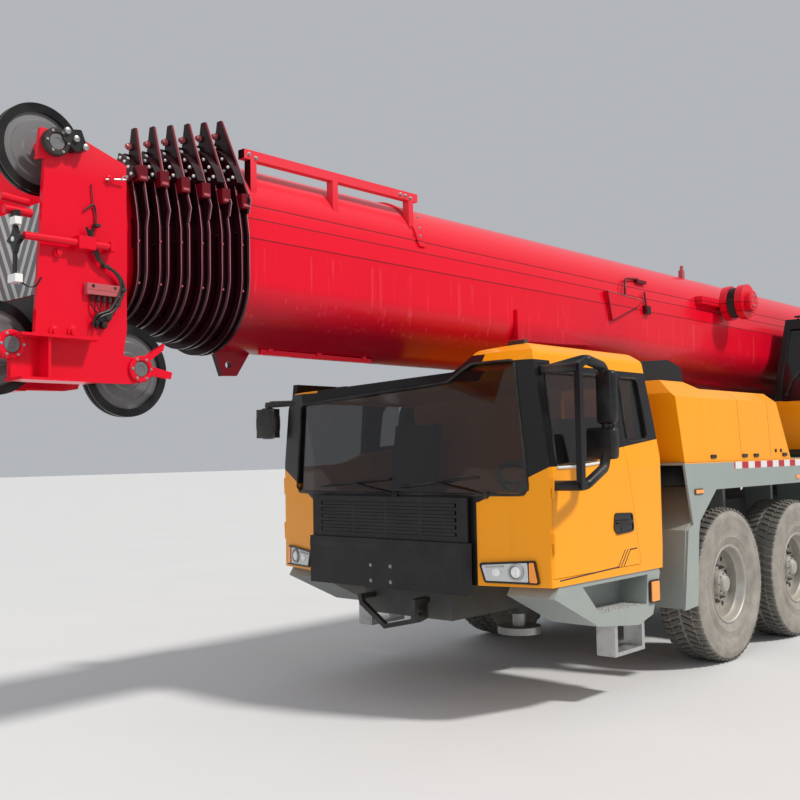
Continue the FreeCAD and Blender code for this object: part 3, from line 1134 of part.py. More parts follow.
def boom_head():
    """Side plates with their webs, the sheave pins, and the brackets that hold the lower sheaves."""
    y = (HEAD_PLATE_Y - HEAD_PLATE_THICKNESS, HEAD_PLATE_Y)
    plate = side_prism([
        (HEAD_REAR, HEAD_PLATE_BOTTOM), (HEAD_REAR, HEAD_PLATE_TOP - 90),
        (HEAD_REAR + 300, HEAD_PLATE_TOP + 10),
        (HEAD_FRONT - 20, HEAD_PLATE_TOP - 50), (HEAD_FRONT + 40, HEAD_PLATE_BOTTOM - 50),
        (HEAD_FRONT + 160, HEAD_PLATE_BOTTOM - 80), (HEAD_FRONT + 160, HEAD_PLATE_BOTTOM - 300),
        (HEAD_REAR + 110, HEAD_PLATE_BOTTOM - 300), (HEAD_REAR + 30, HEAD_PLATE_BOTTOM - 190),
    ], y)
    pieces = both_sides([plate])
    lower_x, lower_z, lower_radius = HEAD_SHEAVES[0][:3]
    over_sheave = lower_z + lower_radius + 20
    pieces.append(box((HEAD_REAR, HEAD_REAR + 30), (-y[0], y[0]), (over_sheave, HEAD_PLATE_TOP - 120)))
    pieces.append(box((HEAD_FRONT - 90, HEAD_FRONT - 60), (-y[0], y[0]),
                      (HEAD_PLATE_BOTTOM + 10, HEAD_PLATE_TOP - 360)))
    bracket = side_prism([
        (HEAD_FRONT + 190, lower_z + 145), (HEAD_REAR + 250, lower_z + 145), (HEAD_REAR + 150, lower_z + 85),
        (lower_x + 60, lower_z + 65), (lower_x - 40, lower_z + 55), (lower_x - 60, lower_z - 10),
        (lower_x - 40, lower_z - 70), (lower_x + 50, lower_z - 85), (HEAD_FRONT + 190, lower_z - 95),
    ], (y[1] - 5, y[1] + 35))
    flanges = []
    for z in (lower_z + 130, lower_z - 95):
        flanges.append(box((HEAD_REAR + 250, HEAD_FRONT + 190), (y[0], y[1] + 150), (z, z + 15)))
    end_plate = box((HEAD_FRONT + 20, HEAD_FRONT + 35), (y[0], y[1] + 130), (lower_z - 90, lower_z + 140))
    guards = []
    for far_x, far_z in ((lower_x - 165, lower_z + 140), (lower_x - 215, lower_z - 25)):
        guards.append(side_prism([
            (lower_x + 30, lower_z - 20), (far_x, far_z - 22),
            (far_x - 10, far_z + 18), (lower_x + 20, lower_z + 40),
        ], (y[1] - 5, y[1] + 25)))
    pieces += both_sides([bracket, end_plate] + flanges + guards)
    for x, z, radius, rows in HEAD_SHEAVES:
        pieces += both_sides([pin_along_y(x, z, (y[0], y[1] + 45), 1.4 * SHEAVE_PIN_RADIUS)])
        pieces.append(pin_along_y(x, z, (-y[1], y[1]), SHEAVE_PIN_RADIUS))
    upper_x, upper_z = HEAD_SHEAVES[1][:2]
    horn = side_prism([
        (upper_x - 190, HEAD_PLATE_TOP - 80), (upper_x - 70, upper_z + 75), (upper_x + 70, upper_z + 75),
        (upper_x + 90, HEAD_PLATE_TOP - 160),
    ], y)
    front_x, front_z = HEAD_SHEAVES[2][:2]
    nose = side_prism([
        (HEAD_FRONT + 60, front_z + 70), (front_x + 70, front_z + 60), (front_x + 70, front_z - 60),
        (HEAD_FRONT + 60, front_z - 90),
    ], y)
    return fused(pieces + both_sides([horn, nose]))


def head_sheaves():
    """Grooved rope sheaves on the head's pins."""
    half = SHEAVE_THICKNESS / 2
    pieces = []
    for x, z, radius, rows in HEAD_SHEAVES:
        for row in rows:
            wheel = faceted_about_y([
                (-half, radius), (-0.4 * half, radius - SHEAVE_GROOVE), (0.4 * half, radius - SHEAVE_GROOVE),
                (half, radius), (half, 10), (-half, 10),
            ], (x, row, z))
            bore = pin_along_y(x, z, (row - 50, row + 50), SHEAVE_PIN_RADIUS + RUNNING_CLEARANCE)
            pieces.append(wheel.cut(bore))
    return pieces


def last_section():
    index = SECTION_COUNT - 1
    x_rear = section_ends(index)[0]
    tube = boom_tube(index * SECTION_STEP, (x_rear, HEAD_REAR + 30))
    return fused([tube, boom_head()] + tail_pads(index, x_rear))


running_gear()
save("chassis_frame", chassis_frame())
stands()
save("deck_and_mudguards", deck())
save("engine_hood", engine_hood())
carrier_cab()
save("cab_interior", cab_interior())
save("front_panel", front_panel())
save("cab_fittings", cab_fittings())
save("lamps", lamps())
save("turntable_frame", turntable())
save("winch_drum", winch_drum())
save("counterweight", counterweight())
operator_cab()
save("luffing_cylinder_barrel", luffing_barrel())
save("luffing_cylinder_rod", luffing_rod())
save("boom_base_section", base_section())
for section_index in range(1, SECTION_COUNT - 1):
    save("boom_section_" + str(section_index), fused(boom_section(section_index)))
save("boom_section_6_with_head", last_section())
save("boom_head_sheaves", head_sheaves())
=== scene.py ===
import math

import bmesh
import bpy
from mathutils import Matrix, Vector
from mathutils.bvhtree import BVHTree


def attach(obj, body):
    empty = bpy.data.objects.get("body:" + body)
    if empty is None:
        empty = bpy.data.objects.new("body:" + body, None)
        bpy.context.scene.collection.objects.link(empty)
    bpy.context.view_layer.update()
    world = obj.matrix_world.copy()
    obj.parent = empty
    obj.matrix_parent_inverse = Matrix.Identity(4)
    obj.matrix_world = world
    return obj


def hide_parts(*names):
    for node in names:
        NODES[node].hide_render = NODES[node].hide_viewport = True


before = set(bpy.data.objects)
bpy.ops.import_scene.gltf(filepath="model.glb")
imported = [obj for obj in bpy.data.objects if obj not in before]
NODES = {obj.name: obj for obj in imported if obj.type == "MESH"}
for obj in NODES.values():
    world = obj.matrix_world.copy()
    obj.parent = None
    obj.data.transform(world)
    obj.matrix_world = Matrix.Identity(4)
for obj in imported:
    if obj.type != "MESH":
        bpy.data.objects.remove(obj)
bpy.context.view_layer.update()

# Places and sizes repeated from the model, in metres
AXLE_X = {1: 0.95, 2: -0.61, 3: -4.26, 4: -5.68}
WHEEL_Y = 1.165
TYRE_RADIUS = 0.68
HALF_WIDTH = 1.375
HOUSING_SIDE = 1.34
SLEW_X = -4.1
BASE_COLLAR_FRONT = 5.71
COLLAR_PITCH = 0.126
COLLAR_LENGTH = 0.066
COLLAR_DEPTH = 0.034
SECTION_STEP = 0.032
BOOM_HALF_WIDTH = 0.42
BOOM_FOLD_Z = (3.47, 3.38, 3.25)
CROWN_Z = 3.42
HEAD_FACE = 0.35
# Centres seen from the side, x and z
BOOM_PIVOT = (-5.75, 3.0)
DRUM = (-6.43, 2.38)
REEL = (-1.11, 3.49)
# Rope sheaves on each of the head's pins: x, z, radius, middle of each across
SHEAVES = ((6.39, 2.39, 0.265, (0.23,)), (6.9, 3.58, 0.25, (0.19,)), (7.15, 2.48, 0.25, (-0.18, -0.06, 0.06, 0.18)))
SIDES = ((1, "left"), (-1, "right"))

# Colours, linear
RED = (0.68, 0.001, 0.018)
PINK = (0.80, 0.085, 0.11)
DEEP_RED = (0.10, 0.001, 0.005)
MAROON = (0.018, 0.002, 0.004)
BAND_RED = (0.42, 0.006, 0.02)
ORANGE = (0.93, 0.34, 0.004)
GREY_GREEN = (0.27, 0.315, 0.305)
DARK = (0.007, 0.007, 0.008)
CHARCOAL = (0.010, 0.0095, 0.0105)
SHEAVE_GREY = (0.16, 0.16, 0.165)
DUST = (0.42, 0.38, 0.32)
STEEL = (0.42, 0.42, 0.41)
PALE = (0.75, 0.75, 0.73)


# Materials

def fill(tree, node, inputs):
    """Gives the node's inputs their values; a value may be another node's socket or a Number."""
    for key, value in inputs.items():
        value = getattr(value, "socket", value)
        if isinstance(value, bpy.types.NodeSocket):
            tree.links.new(value, node.inputs[key])
        else:
            node.inputs[key].default_value = value


def add_node(tree, kind, inputs, **settings):
    node = tree.nodes.new(kind)
    for name, value in settings.items():
        setattr(node, name, value)
    fill(tree, node, inputs)
    return node


class Number:
    """A number in a material's node tree, so that masks read as formulas."""

    def __init__(self, tree, socket):
        self.tree, self.socket = tree, socket

    def math(self, operation, *others):
        inputs = dict(enumerate((self, *others)))
        return Number(self.tree, add_node(self.tree, "ShaderNodeMath", inputs, operation=operation).outputs[0])

    def __add__(self, other):
        return self.math("ADD", other)

    def __sub__(self, other):
        return self.math("SUBTRACT", other)

    def __mul__(self, other):
        return self.math("MULTIPLY", other)

    def __gt__(self, other):
        return self.math("GREATER_THAN", other)

    def __lt__(self, other):
        return self.math("LESS_THAN", other)

    def __or__(self, other):
        return self.math("MAXIMUM", other)

    def __abs__(self):
        return self.math("ABSOLUTE")

    __and__ = __mul__

    def within(self, low, high):
        return (self > low) & (self < high)

    def ramp(self, low, high, to_low=0.0, to_high=1.0):
        inputs = {"Value": self, "From Min": low, "From Max": high, "To Min": to_low, "To Max": to_high}
        return Number(self.tree, add_node(self.tree, "ShaderNodeMapRange", inputs, clamp=True).outputs["Result"])


class Surface:
    """One finish, with masks painted over it."""

    def __init__(self, name, colour, rough=0.5, metal=0.0, coat=0.0):
        self.material = bpy.data.materials.new(name)
        self.material.use_nodes = True
        self.tree = self.material.node_tree
        self.inputs = {"Base Color": (*colour, 1.0), "Roughness": rough, "Metallic": metal, "Coat Weight": coat,
                       "Coat Roughness": 0.08, "Specular IOR Level": 0.2 if coat else 0.5}
        place = self.tree.nodes.new("ShaderNodeTexCoord")
        self.place = place.outputs["Object"]
        self.x, self.y, self.z = self.split(self.place)
        self.nx, _, self.nz = self.split(place.outputs["Normal"])

    def split(self, socket):
        return [Number(self.tree, part) for part in add_node(self.tree, "ShaderNodeSeparateXYZ", {0: socket}).outputs]

    def noise(self, scale, detail=3.0, tall=1.0, seed=0.0):
        """Noise; a low value of tall draws it out into upright streaks."""
        inputs = {"Vector": self.place, "Scale": (1.0, 1.0, tall), "Location": (seed, seed * 1.7, seed * 0.6)}
        mapping = add_node(self.tree, "ShaderNodeMapping", inputs)
        inputs = {"Vector": mapping.outputs[0], "Scale": scale, "Detail": detail}
        return Number(self.tree, add_node(self.tree, "ShaderNodeTexNoise", inputs).outputs["Fac"])

    def layer(self, mask, colour=None, rough=None, metal=None):
        for name, value in (("Base Color", colour and (*colour, 1.0)), ("Roughness", rough), ("Metallic", metal)):
            if value is None:
                continue
            kind, base, top, out = ("RGBA", 6, 7, 2) if name == "Base Color" else ("FLOAT", 2, 3, 0)
            inputs = {0: mask, base: self.inputs[name], top: value}
            self.inputs[name] = add_node(self.tree, "ShaderNodeMix", inputs, data_type=kind).outputs[out]

    def bump(self, height, distance, strength):
        inputs = {"Height": height, "Distance": distance, "Strength": strength}
        if "Normal" in self.inputs:
            inputs["Normal"] = self.inputs["Normal"]
        self.inputs["Normal"] = add_node(self.tree, "ShaderNodeBump", inputs).outputs[0]

    def done(self):
        fill(self.tree, self.tree.nodes["Principled BSDF"], self.inputs)
        return self.material


def shade(colour, factor):
    return tuple(channel * factor for channel in colour)


def weather(s, colour, dust, low, high, tone):
    """Uneven tone, runs, dust that gathers low down and on upward faces, and a fine surface."""
    s.layer(s.noise(1.1, 5).ramp(0.35, 0.75, 0.0, tone), shade(colour, 0.55))
    s.layer(s.noise(9, 4, 0.07, 3.0).ramp(0.56, 0.8, 0.0, tone), shade(colour, 0.5))
    grime = s.noise(3.5, 6, seed=8.0).ramp(0.38, 0.7)
    lying = s.nz.ramp(0.5, 1.0, 0.0, dust)
    settled = s.z.ramp(low, high, dust, dust * 0.12)
    s.layer((grime * 0.75 + 0.25) * (lying + settled), DUST, 0.85)
    s.bump(s.noise(240, 2), 0.0003, 0.2)
    return s


def coated(name, colour, rough=0.3, coat=0.5, dust=0.25, tone=0.18, high=2.4):
    return weather(Surface(name, colour, rough, 0.0, coat), colour, dust, 0.2, high, tone)


def paint(*finish):
    return coated(*finish).done()


def warning_band(s, mask, along):
    """Red and white blocks in turn."""
    s.layer(mask, shade(PALE, 0.9), 0.35)
    s.layer(mask & ((along * 3.6 + 40.0).math("FRACT") < 0.5), BAND_RED, 0.35)


def boom_paint(front=None, mouth=0.0):
    """Boom red, paler on the crown as a painted sky reflection and dark on the belly as painted shade; a section's
    mouth is black with painted shade and grease, and its bright edges are painted highlights.
    """
    s = coated("boom_red_" + ("head" if front is None else str(int(front * 1000))), RED, 0.28, 0.12, 0.015, 0.08, 3.0)
    # Paler pink crown: painted sky reflection.
    s.layer(s.z.ramp(3.42, 3.76, 0.0, 0.45), PINK, 0.3)
    if front is not None:
        # Darker belly: painted shade.
        s.layer(s.z.ramp(2.98, 2.70, 0.0, 0.75), DEEP_RED)
        scratches = s.noise(30, 3, 0.04, 6.0).ramp(0.60, 0.72, 0.0, 0.3)
        s.layer(scratches & s.z.within(2.72, 3.20), PINK)
        # Thin dark lines along the folds of the side: painted shade where the surface bends.
        for z in BOOM_FOLD_Z:
            s.layer(abs(s.z - z).ramp(0.003, 0.006, 0.8, 0.0) & (abs(s.y) > 0.3), DEEP_RED, 0.5)
        # Dark maroon mouth: painted shade between the collars, and grease; a less dark red on its top, above z 3.50.
        s.layer(s.x > front - mouth, MAROON, 0.2)
        s.layer((s.x > front - mouth) & (s.z > 3.50), DEEP_RED, 0.3)
        # Faces turned to the front near the mouth are painted darker: painted shade.
        s.layer((s.x > front - 0.7) & (s.nx > 0.7), MAROON, 0.35)
        # Pale lines on the collars' front edges, fading out towards the bottom and left off the faces that look along
        # the boom: painted highlights.
        rim = s.x.within(front - 0.005, front + 0.001) | s.x.within(front - 0.0665, front - 0.060)
        lit = s.z.ramp(2.65, 3.1) & (abs(s.nx) < 0.5)
        s.layer(rim & lit, (0.36, 0.13, 0.16), 0.3)
    return s.done()


def cab_paint():
    """Cab orange below the waist and on the roof, black round the windows and on the mirror arm."""
    s = coated("cab_orange", ORANGE, 0.28, 0.12, 0.02, 0.08)
    waist = s.x * -0.11 + 2.215
    side = (abs(s.y) > 1.18) & (s.z > waist) & (s.z < 2.50)
    corner = s.z > abs(s.y).ramp(0.86, 1.375, 1.535, 1.780)
    front = (s.x > 3.62) & corner & (s.z < s.y.ramp(0.45, 0.8, 2.405, 2.53))
    panel = (s.x > 3.80) & (abs(s.y) < 0.845)
    s.layer(side | front | panel | (abs(s.y) > 1.40), CHARCOAL, 0.3)
    return s.done()


def deck_paint():
    """Grey-green deck paint with the red and white band along its upper edge and tread on the steps."""
    s = coated("deck_grey", GREY_GREEN, 0.42, 0.2, 0.35)
    edge = abs(s.y) > 1.36
    warning_band(s, s.z.within(1.700, 1.762) & edge & s.x.within(-2.56, 0.86), s.x)
    s.layer(s.z.within(1.762, 1.80) & edge & s.x.within(-2.56, 1.80), ORANGE, 0.35)
    step = (s.nz > 0.8) & s.x.within(2.2, 3.8)
    s.layer(step, (0.14, 0.14, 0.13), 0.8)
    s.layer(step & s.noise(160, 2, seed=4.0).ramp(0.48, 0.56), PALE, 0.8)
    tread = ((s.x * 110.0).math("SINE") * (s.y * 110.0).math("SINE")) & (s.nz > 0.9) & (s.z > 1.6)
    s.bump(tread, 0.003, 0.5)
    return s.done()


def hood_paint():
    """Hood orange with thin panel gaps; the exhaust outlet on top is black."""
    s = coated("hood_orange", ORANGE, 0.30, 0.12, 0.03, 0.08)
    for x in (0.62, -0.05):
        s.layer(abs(s.x - x).ramp(0.002, 0.004, 0.85, 0.0) & (abs(s.y) > 1.2) & (s.z > 1.80), DARK, 0.6)
    outlet = (s.z > 2.484) | ((s.z > 2.425) & (s.x < 1.0) & s.y.within(0.55, 0.91))
    s.layer(outlet, CHARCOAL, 0.5)
    return s.done()


def weight_paint():
    """Counterweight orange with the gaps between its slabs and a red and white band low on its back."""
    s = coated("counterweight_paint", ORANGE, 0.36, 0.12, 0.12)
    for z in (2.13, 2.36):
        s.layer(abs(s.z - z).ramp(0.003, 0.005, 0.9, 0.0), DARK, 0.7)
    warning_band(s, s.z.within(1.900, 1.960) & (s.nx < -0.5), s.y)
    return s.done()


def chevron_paint():
    """Grey and pale chevrons that point down."""
    s = coated("chevron_board", SHEAVE_GREY, 0.4, 0.2, 0.2)
    bars = ((s.z - abs(s.y) * 1.7) * 7.0 + 60.0).math("FRACT")
    s.layer(bars < 0.42, (0.50, 0.50, 0.49), 0.35)
    return s.done()


def moulded(name, colour, rough, dust):
    """Dark plastic or enamel with a little dust."""
    s = Surface(name, colour, rough)
    s.layer(s.noise(4, 5).ramp(0.4, 0.75, 0.0, dust), shade(DUST, 0.5), 0.8)
    return s


def fittings_paint():
    """Black front step, tow eye and right mirror; the hanging steps under the doors are bare steel."""
    s = moulded("step_and_mirror_black", DARK, 0.4, 0.2)
    steps = s.z.within(0.30, 0.70) & (s.x < 3.0)
    s.layer(steps, (0.50, 0.50, 0.49), 0.35, 0.8)
    s.layer(steps & (s.noise(14, 4).ramp(0.5, 0.7, 0.0, 0.4)), (0.22, 0.21, 0.19), 0.7, 0.2)
    s.bump(s.noise(420, 2), 0.0004, 0.7)
    return s.done()


def plastic(name, colour=DARK, rough=0.45, dust=0.2):
    s = moulded(name, colour, rough, dust)
    s.bump(s.noise(420, 2), 0.0004, 0.2)
    s.inputs["Specular IOR Level"] = 0.3
    return s.done()


def glass(name, alpha):
    s = Surface(name, (0.006, 0.006, 0.0066), 0.03)
    s.layer(s.noise(1.4, 5).ramp(0.45, 0.85, 0.0, 0.02), DUST, 0.1)
    s.inputs |= {"Alpha": alpha, "IOR": 1.52, "Specular IOR Level": 0.8}
    return s.done()


def rubber(name, dust):
    s = Surface(name, (0.022, 0.022, 0.022), 0.8)
    s.layer(s.noise(5, 6).ramp(0.3, 0.65, 0.55, 0.92), dust, 0.92)
    s.layer(s.noise(30, 4, seed=5.0).ramp(0.55, 0.75, 0.0, 0.35), (0.08, 0.077, 0.07))
    s.bump(s.noise(140, 4), 0.0015, 0.5)
    return s.done()


def metal(name, colour=STEEL, rough=0.38, metallic=1.0, dust=0.35):
    s = weather(Surface(name, colour, rough, metallic), colour, dust, 0.1, 2.0, 0.3)
    s.layer(s.noise(22, 5, seed=2.0).ramp(0.6, 0.8, 0.0, 0.35), (0.12, 0.07, 0.04), 0.8)
    return s.done()


def lens(name, colour):
    """Ribbed lamp lens."""
    s = Surface(name, colour, 0.08, 0.0, 1.0)
    s.layer(s.noise(90, 2, 0.05).ramp(0.45, 0.6, 0.0, 0.35), shade(colour, 1.6), 0.05)
    s.bump(s.noise(110, 1, 0.03), 0.002, 0.8)
    return s.done()


M = {
    "cab": cab_paint(),
    "orange": hood_paint(),
    "deck": deck_paint(),
    "fittings": fittings_paint(),
    "weight": weight_paint(),
    "chevron": chevron_paint(),
    "red": boom_paint(),
    # Chassis grey-green darkened to near black: painted shade.
    "chassis": paint("chassis_grey", shade(GREY_GREEN, 0.14), 0.6, 0.0, 0.2),
    "turntable": paint("turntable_grey", shade(GREY_GREEN, 0.5), 0.45, 0.2, 0.3),
    "deep_red": paint("deep_red", (0.12, 0.001, 0.006), 0.35, 0.2, 0.03),
    # Faded red paint; also the painted highlight line on the boom bracket's top edges.
    "pink": paint("faded_red", (0.42, 0.09, 0.10), 0.4, 0.2, 0.05),
    "maroon": paint("maroon", MAROON, 0.25, 0.4, 0.05),
    "stripe": paint("brown_stripe", (0.045, 0.016, 0.006), 0.4, 0.3, 0.1),
    "white": paint("pale_paint", PALE, 0.45, 0.1, 0.15),
    "panel": plastic("dark_panel", CHARCOAL, 0.26, 0.05),
    "black": plastic("black_trim", DARK, 0.4),
    "gloss_black": plastic("gloss_black", (0.006, 0.006, 0.007), 0.14, 0.1),
    "interior": plastic("interior_grey", (0.09, 0.085, 0.085), 0.75),
    "windscreen": glass("windscreen_glass", 0.45),
    "window": glass("window_glass", 0.5),
    "rubber": rubber("tyre_sidewall", (0.36, 0.33, 0.29)),
    "tread": rubber("tyre_tread", (0.15, 0.14, 0.125)),
    "wheel": metal("wheel_steel", (0.50, 0.49, 0.46), 0.45, 0.75, 0.5),
    "gear": metal("running_gear", (0.035, 0.035, 0.035), 0.6, 0.4, 0.6),
    "steel": metal("bare_steel"),
    "chrome": metal("rod_chrome", (0.62, 0.63, 0.64), 0.12, 1.0, 0.05),
    "sheave": metal("sheave_grey", SHEAVE_GREY, 0.45, 0.5, 0.3),
    "rope": metal("rope_steel", (0.2, 0.2, 0.2), 0.5, 0.9, 0.2),
    "reflector": metal("lamp_bowl", (0.55, 0.56, 0.57), 0.18, 0.9, 0.02),
    "mirror": metal("mirror_glass", (0.75, 0.77, 0.79), 0.03, 1.0, 0.02),
    "amber": lens("amber_lens", (0.9, 0.28, 0.02)),
    "clear": lens("clear_lens", (0.75, 0.77, 0.78)),
    "smoked_amber": lens("smoked_amber_lens", (0.06, 0.02, 0.01)),
    "red_lens": lens("red_lens", (0.5, 0.01, 0.01)),
}

# Each material with parts of the names of its nodes; the first row with a match decides
NODE_MATERIALS = {
    "window": "operator_cab_glass door_left_glass door_right_glass door_glass",
    "windscreen": "cab_glass",
    "orange": "engine_hood operator_cab",
    "cab": "cab_shell cab_door",
    "deck": "deck_and_mudguards outrigger_beam",
    "gear": "axles_and_drivetrain knuckle winch_drum",
    "rubber": "tyre",
    "wheel": "rim",
    "sheave": "sheaves",
    "red": "cylinder_barrel section_6",
    "chrome": "cylinder_rod",
    "steel": "jack",
    "chassis": "chassis",
    "interior": "interior",
    "panel": "front_panel",
    "fittings": "fittings",
    "clear": "lamps",
    "turntable": "turntable",
    "weight": "counterweight",
}


def dress(node, material):
    slots = NODES[node].data.materials
    slots.clear()
    slots.append(material)


for name in NODES:
    for key, parts in NODE_MATERIALS.items():
        if any(part in name for part in parts.split()):
            dress(name, M[key])
            break
# Each section's mouth is painted dark over its collar, and on the inner sections also over the tube between the
# collars: painted shade, and grease on the collars.
dress("boom_base_section", boom_paint(BASE_COLLAR_FRONT, COLLAR_LENGTH + 0.002))
for index in range(1, 6):
    dress(f"boom_section_{index}", boom_paint(BASE_COLLAR_FRONT + index * COLLAR_PITCH, COLLAR_PITCH + 0.05))


# Mesh building

def at(axis, a, b, along):
    """A point of an outline drawn across the axis, as a point in space."""
    return {"x": (along, a, b), "y": (a, along, b), "z": (a, b, along)}[axis]


def polar(radius, turn):
    return radius * math.cos(turn), radius * math.sin(turn)


def circle(radius, steps, centre=(0.0, 0.0), start=0.0):
    spokes = [polar(radius, start + math.tau * i / steps) for i in range(steps)]
    return [(centre[0] + a, centre[1] + b) for a, b in spokes]


def softened(points, radius, steps, closed):
    """The line with its corners rounded."""
    count = len(points)
    result = []
    for i, point in enumerate(points):
        corner = Vector(point)
        if not closed and i in (0, count - 1):
            result.append(tuple(corner))
            continue
        before, after = Vector(points[i - 1]) - corner, Vector(points[(i + 1) % count]) - corner
        bend = before.angle(after)
        if radius <= 0 or bend > math.radians(177):
            result.append(tuple(corner))
            continue
        reach = min(radius / math.tan(bend / 2), 0.48 * before.length, 0.48 * after.length)
        start, end = corner + before.normalized() * reach, corner + after.normalized() * reach
        for k in range(steps + 1):
            t = k / steps
            result.append(tuple(start * (1 - t) ** 2 + corner * (2 * t * (1 - t)) + end * t * t))
    return result


def rounded(outline, radius, steps=4):
    return softened(outline, radius, steps, True)


def oblong(low, high, radius, steps=4):
    """Rounded rectangle between two corners."""
    return rounded([low, (high[0], low[1]), high, (low[0], high[1])], radius, steps)


def bent(path, radius, steps=6):
    return softened(path, radius, steps, False)


def smooth_path(points, steps=8):
    """Flowing line through the points, for hoses and cables."""
    p = [Vector(point) for point in points]
    p = [p[0] * 2 - p[1], *p, p[-1] * 2 - p[-2]]
    result = []
    for i in range(1, len(p) - 2):
        for k in range(steps):
            t = k / steps
            result.append(0.5 * (p[i] * 2 + (p[i + 1] - p[i - 1]) * t
                                 + (p[i - 1] * 2 - p[i] * 5 + p[i + 1] * 4 - p[i + 2]) * t * t
                                 + (p[i] * 3 - p[i - 1] - p[i + 1] * 3 + p[i + 2]) * t ** 3))
    return result + [p[-2]]


def grown(outline, margin):
    """The outline moved outwards by the margin, or inwards when it is negative."""
    line = [Vector(point) for point in outline]
    area = sum(outline[i - 1][0] * outline[i][1] - outline[i][0] * outline[i - 1][1] for i in range(len(line)))
    way = margin if area > 0 else -margin
    result = []
    for before, point, after in zip(line[-1:] + line, line, line[1:] + line[:1]):
        before, after = (point - before).normalized(), (after - point).normalized()
        n1, n2 = Vector((before.y, -before.x)), Vector((after.y, -after.x))
        result.append(tuple(point + (n1 + n2) * (way / max(1 + n1.dot(n2), 0.3))))
    return result


def outward(face, side, low, high):
    """Both ends of a plate, counted outwards from the face on that side, in rising order."""
    return sorted((face + side * low, face + side * high))


class Shape:
    """A mesh put together from simple closed forms, each in one of the piece's materials."""

    def __init__(self):
        self.points, self.faces, self.slots = [], [], []
        self.slot, self.place = 0, None

    def paint(self, slot):
        self.slot = slot

    def add(self, points, faces):
        base = len(self.points)
        self.points += [tuple(self.place @ Vector(point)) if self.place else tuple(point) for point in points]
        self.faces += [tuple(base + i for i in face) for face in faces]
        self.slots += [self.slot] * len(faces)

    def prism(self, outline, axis, low, high):
        count = len(outline)
        points = [at(axis, a, b, along) for along in (low, high) for a, b in outline]
        faces = [tuple(range(count)), tuple(range(2 * count - 1, count - 1, -1))]
        faces += [(i, (i + 1) % count, count + (i + 1) % count, count + i) for i in range(count)]
        self.add(points, faces)

    def box(self, low, high):
        outline = [(low[0], low[1]), (high[0], low[1]), (high[0], high[1]), (low[0], high[1])]
        self.prism(outline, "z", low[2], high[2])

    def frame(self, outer, inner, axis, low, high):
        """Ring between two outlines with the same number of corners."""
        count = len(outer)
        points = [at(axis, a, b, along) for along in (low, high) for line in (outer, inner) for a, b in line]
        self.add(points, [(first * count + i, first * count + (i + 1) % count,
                           second * count + (i + 1) % count, second * count + i)
                          for i in range(count) for first, second in ((0, 1), (1, 3), (3, 2), (2, 0))])

    def lathe(self, profile, centre, axis, steps=48, closed=False, way=1):
        """Profile of (along, radius) points turned about the axis; an open one has its ends filled."""
        points, faces, rings = [], [], []
        for along, radius in profile:
            turned = circle(radius, steps) if radius else [(0.0, 0.0)]
            rings.append(list(range(len(points), len(points) + steps)) if radius else [len(points)] * steps)
            points += [tuple(Vector(at(axis, a, b, way * along)) + Vector(centre)) for a, b in turned]
        for ring, following in list(zip(rings, rings[1:])) + ([(rings[-1], rings[0])] if closed else []):
            for i in range(steps):
                k = (i + 1) % steps
                faces.append(tuple(dict.fromkeys((ring[i], ring[k], following[k], following[i]))))
        if not closed:
            faces += [tuple(ring) for ring in (rings[0], rings[-1]) if ring[0] != ring[-1]]
        self.add(points, faces)

    def tube(self, path, radius, sides=10):
        path = [Vector(point) for point in path]
        points, faces = [], []
        side = None
        for i, point in enumerate(path):
            way = (path[min(i + 1, len(path) - 1)] - path[max(i - 1, 0)]).normalized()
            side = side or way.orthogonal().normalized()
            side = (side - way * side.dot(way)).normalized()
            other = way.cross(side)
            points += [point + side * a + other * b for a, b in circle(radius, sides)]
        for i in range(0, len(points) - sides, sides):
            for j in range(sides):
                k = (j + 1) % sides
                faces.append((i + j, i + k, i + sides + k, i + sides + j))
        faces += [tuple(range(sides)), tuple(range(len(points) - sides, len(points)))]
        self.add(points, faces)

    def bolt(self, centre, axis, radius, height, way=1):
        """Washer and six-sided head that stand on a face, towards way along the axis."""
        x, y, z = centre
        a, b, face = {"x": (y, z, x), "y": (x, z, y), "z": centre}[axis]
        self.prism(circle(radius * 1.35, 12, (a, b)), axis, *outward(face, way, -0.002, 0.003))
        self.prism(circle(radius, 6, (a, b), 0.3), axis, *outward(face, way, 0.003, height))

    def flipped(self):
        """The same shape on the crane's other side."""
        other = Shape()
        other.points = [(x, -y, z) for x, y, z in self.points]
        other.faces, other.slots = self.faces, self.slots
        return other


def mesh_of(name, shape, materials, smooth=32.0):
    mesh = bpy.data.meshes.new(name)
    mesh.from_pydata(shape.points, [], shape.faces)
    for key in materials.split():
        mesh.materials.append(M[key])
    mesh.polygons.foreach_set("material_index", shape.slots)
    edit = bmesh.new()
    edit.from_mesh(mesh)
    bmesh.ops.delete(edit, geom=[v for v in edit.verts if not v.link_faces], context="VERTS")
    bmesh.ops.recalc_face_normals(edit, faces=edit.faces)
    edit.to_mesh(mesh)
    edit.free()
    mesh.shade_smooth()
    mesh.set_sharp_from_angle(angle=math.radians(smooth))
    return mesh


def new_object(name, data):
    made = bpy.data.objects.new(name, data)
    bpy.context.scene.collection.objects.link(made)
    return made


def round_edges(piece, width, degrees):
    """Bevels the edges that bend more than the angle."""
    edge = piece.modifiers.new("edge", "BEVEL")
    edge.width, edge.segments, edge.limit_method = width, 2, "ANGLE"
    edge.angle_limit = math.radians(degrees)
    edge.harden_normals = True


def put(name, mesh, body, bevel=0.0, replaces=(), place=(0.0, 0.0, 0.0)):
    piece = new_object(name, mesh)
    piece.location = place
    if bevel:
        round_edges(piece, bevel, 35)
    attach(piece, body)
    if replaces:
        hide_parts(*replaces)


def make(name, shape, body, materials, bevel=0.0, smooth=32.0, replaces=()):
    put(name, mesh_of(name, shape, materials, smooth), body, bevel, replaces)


# Wheels

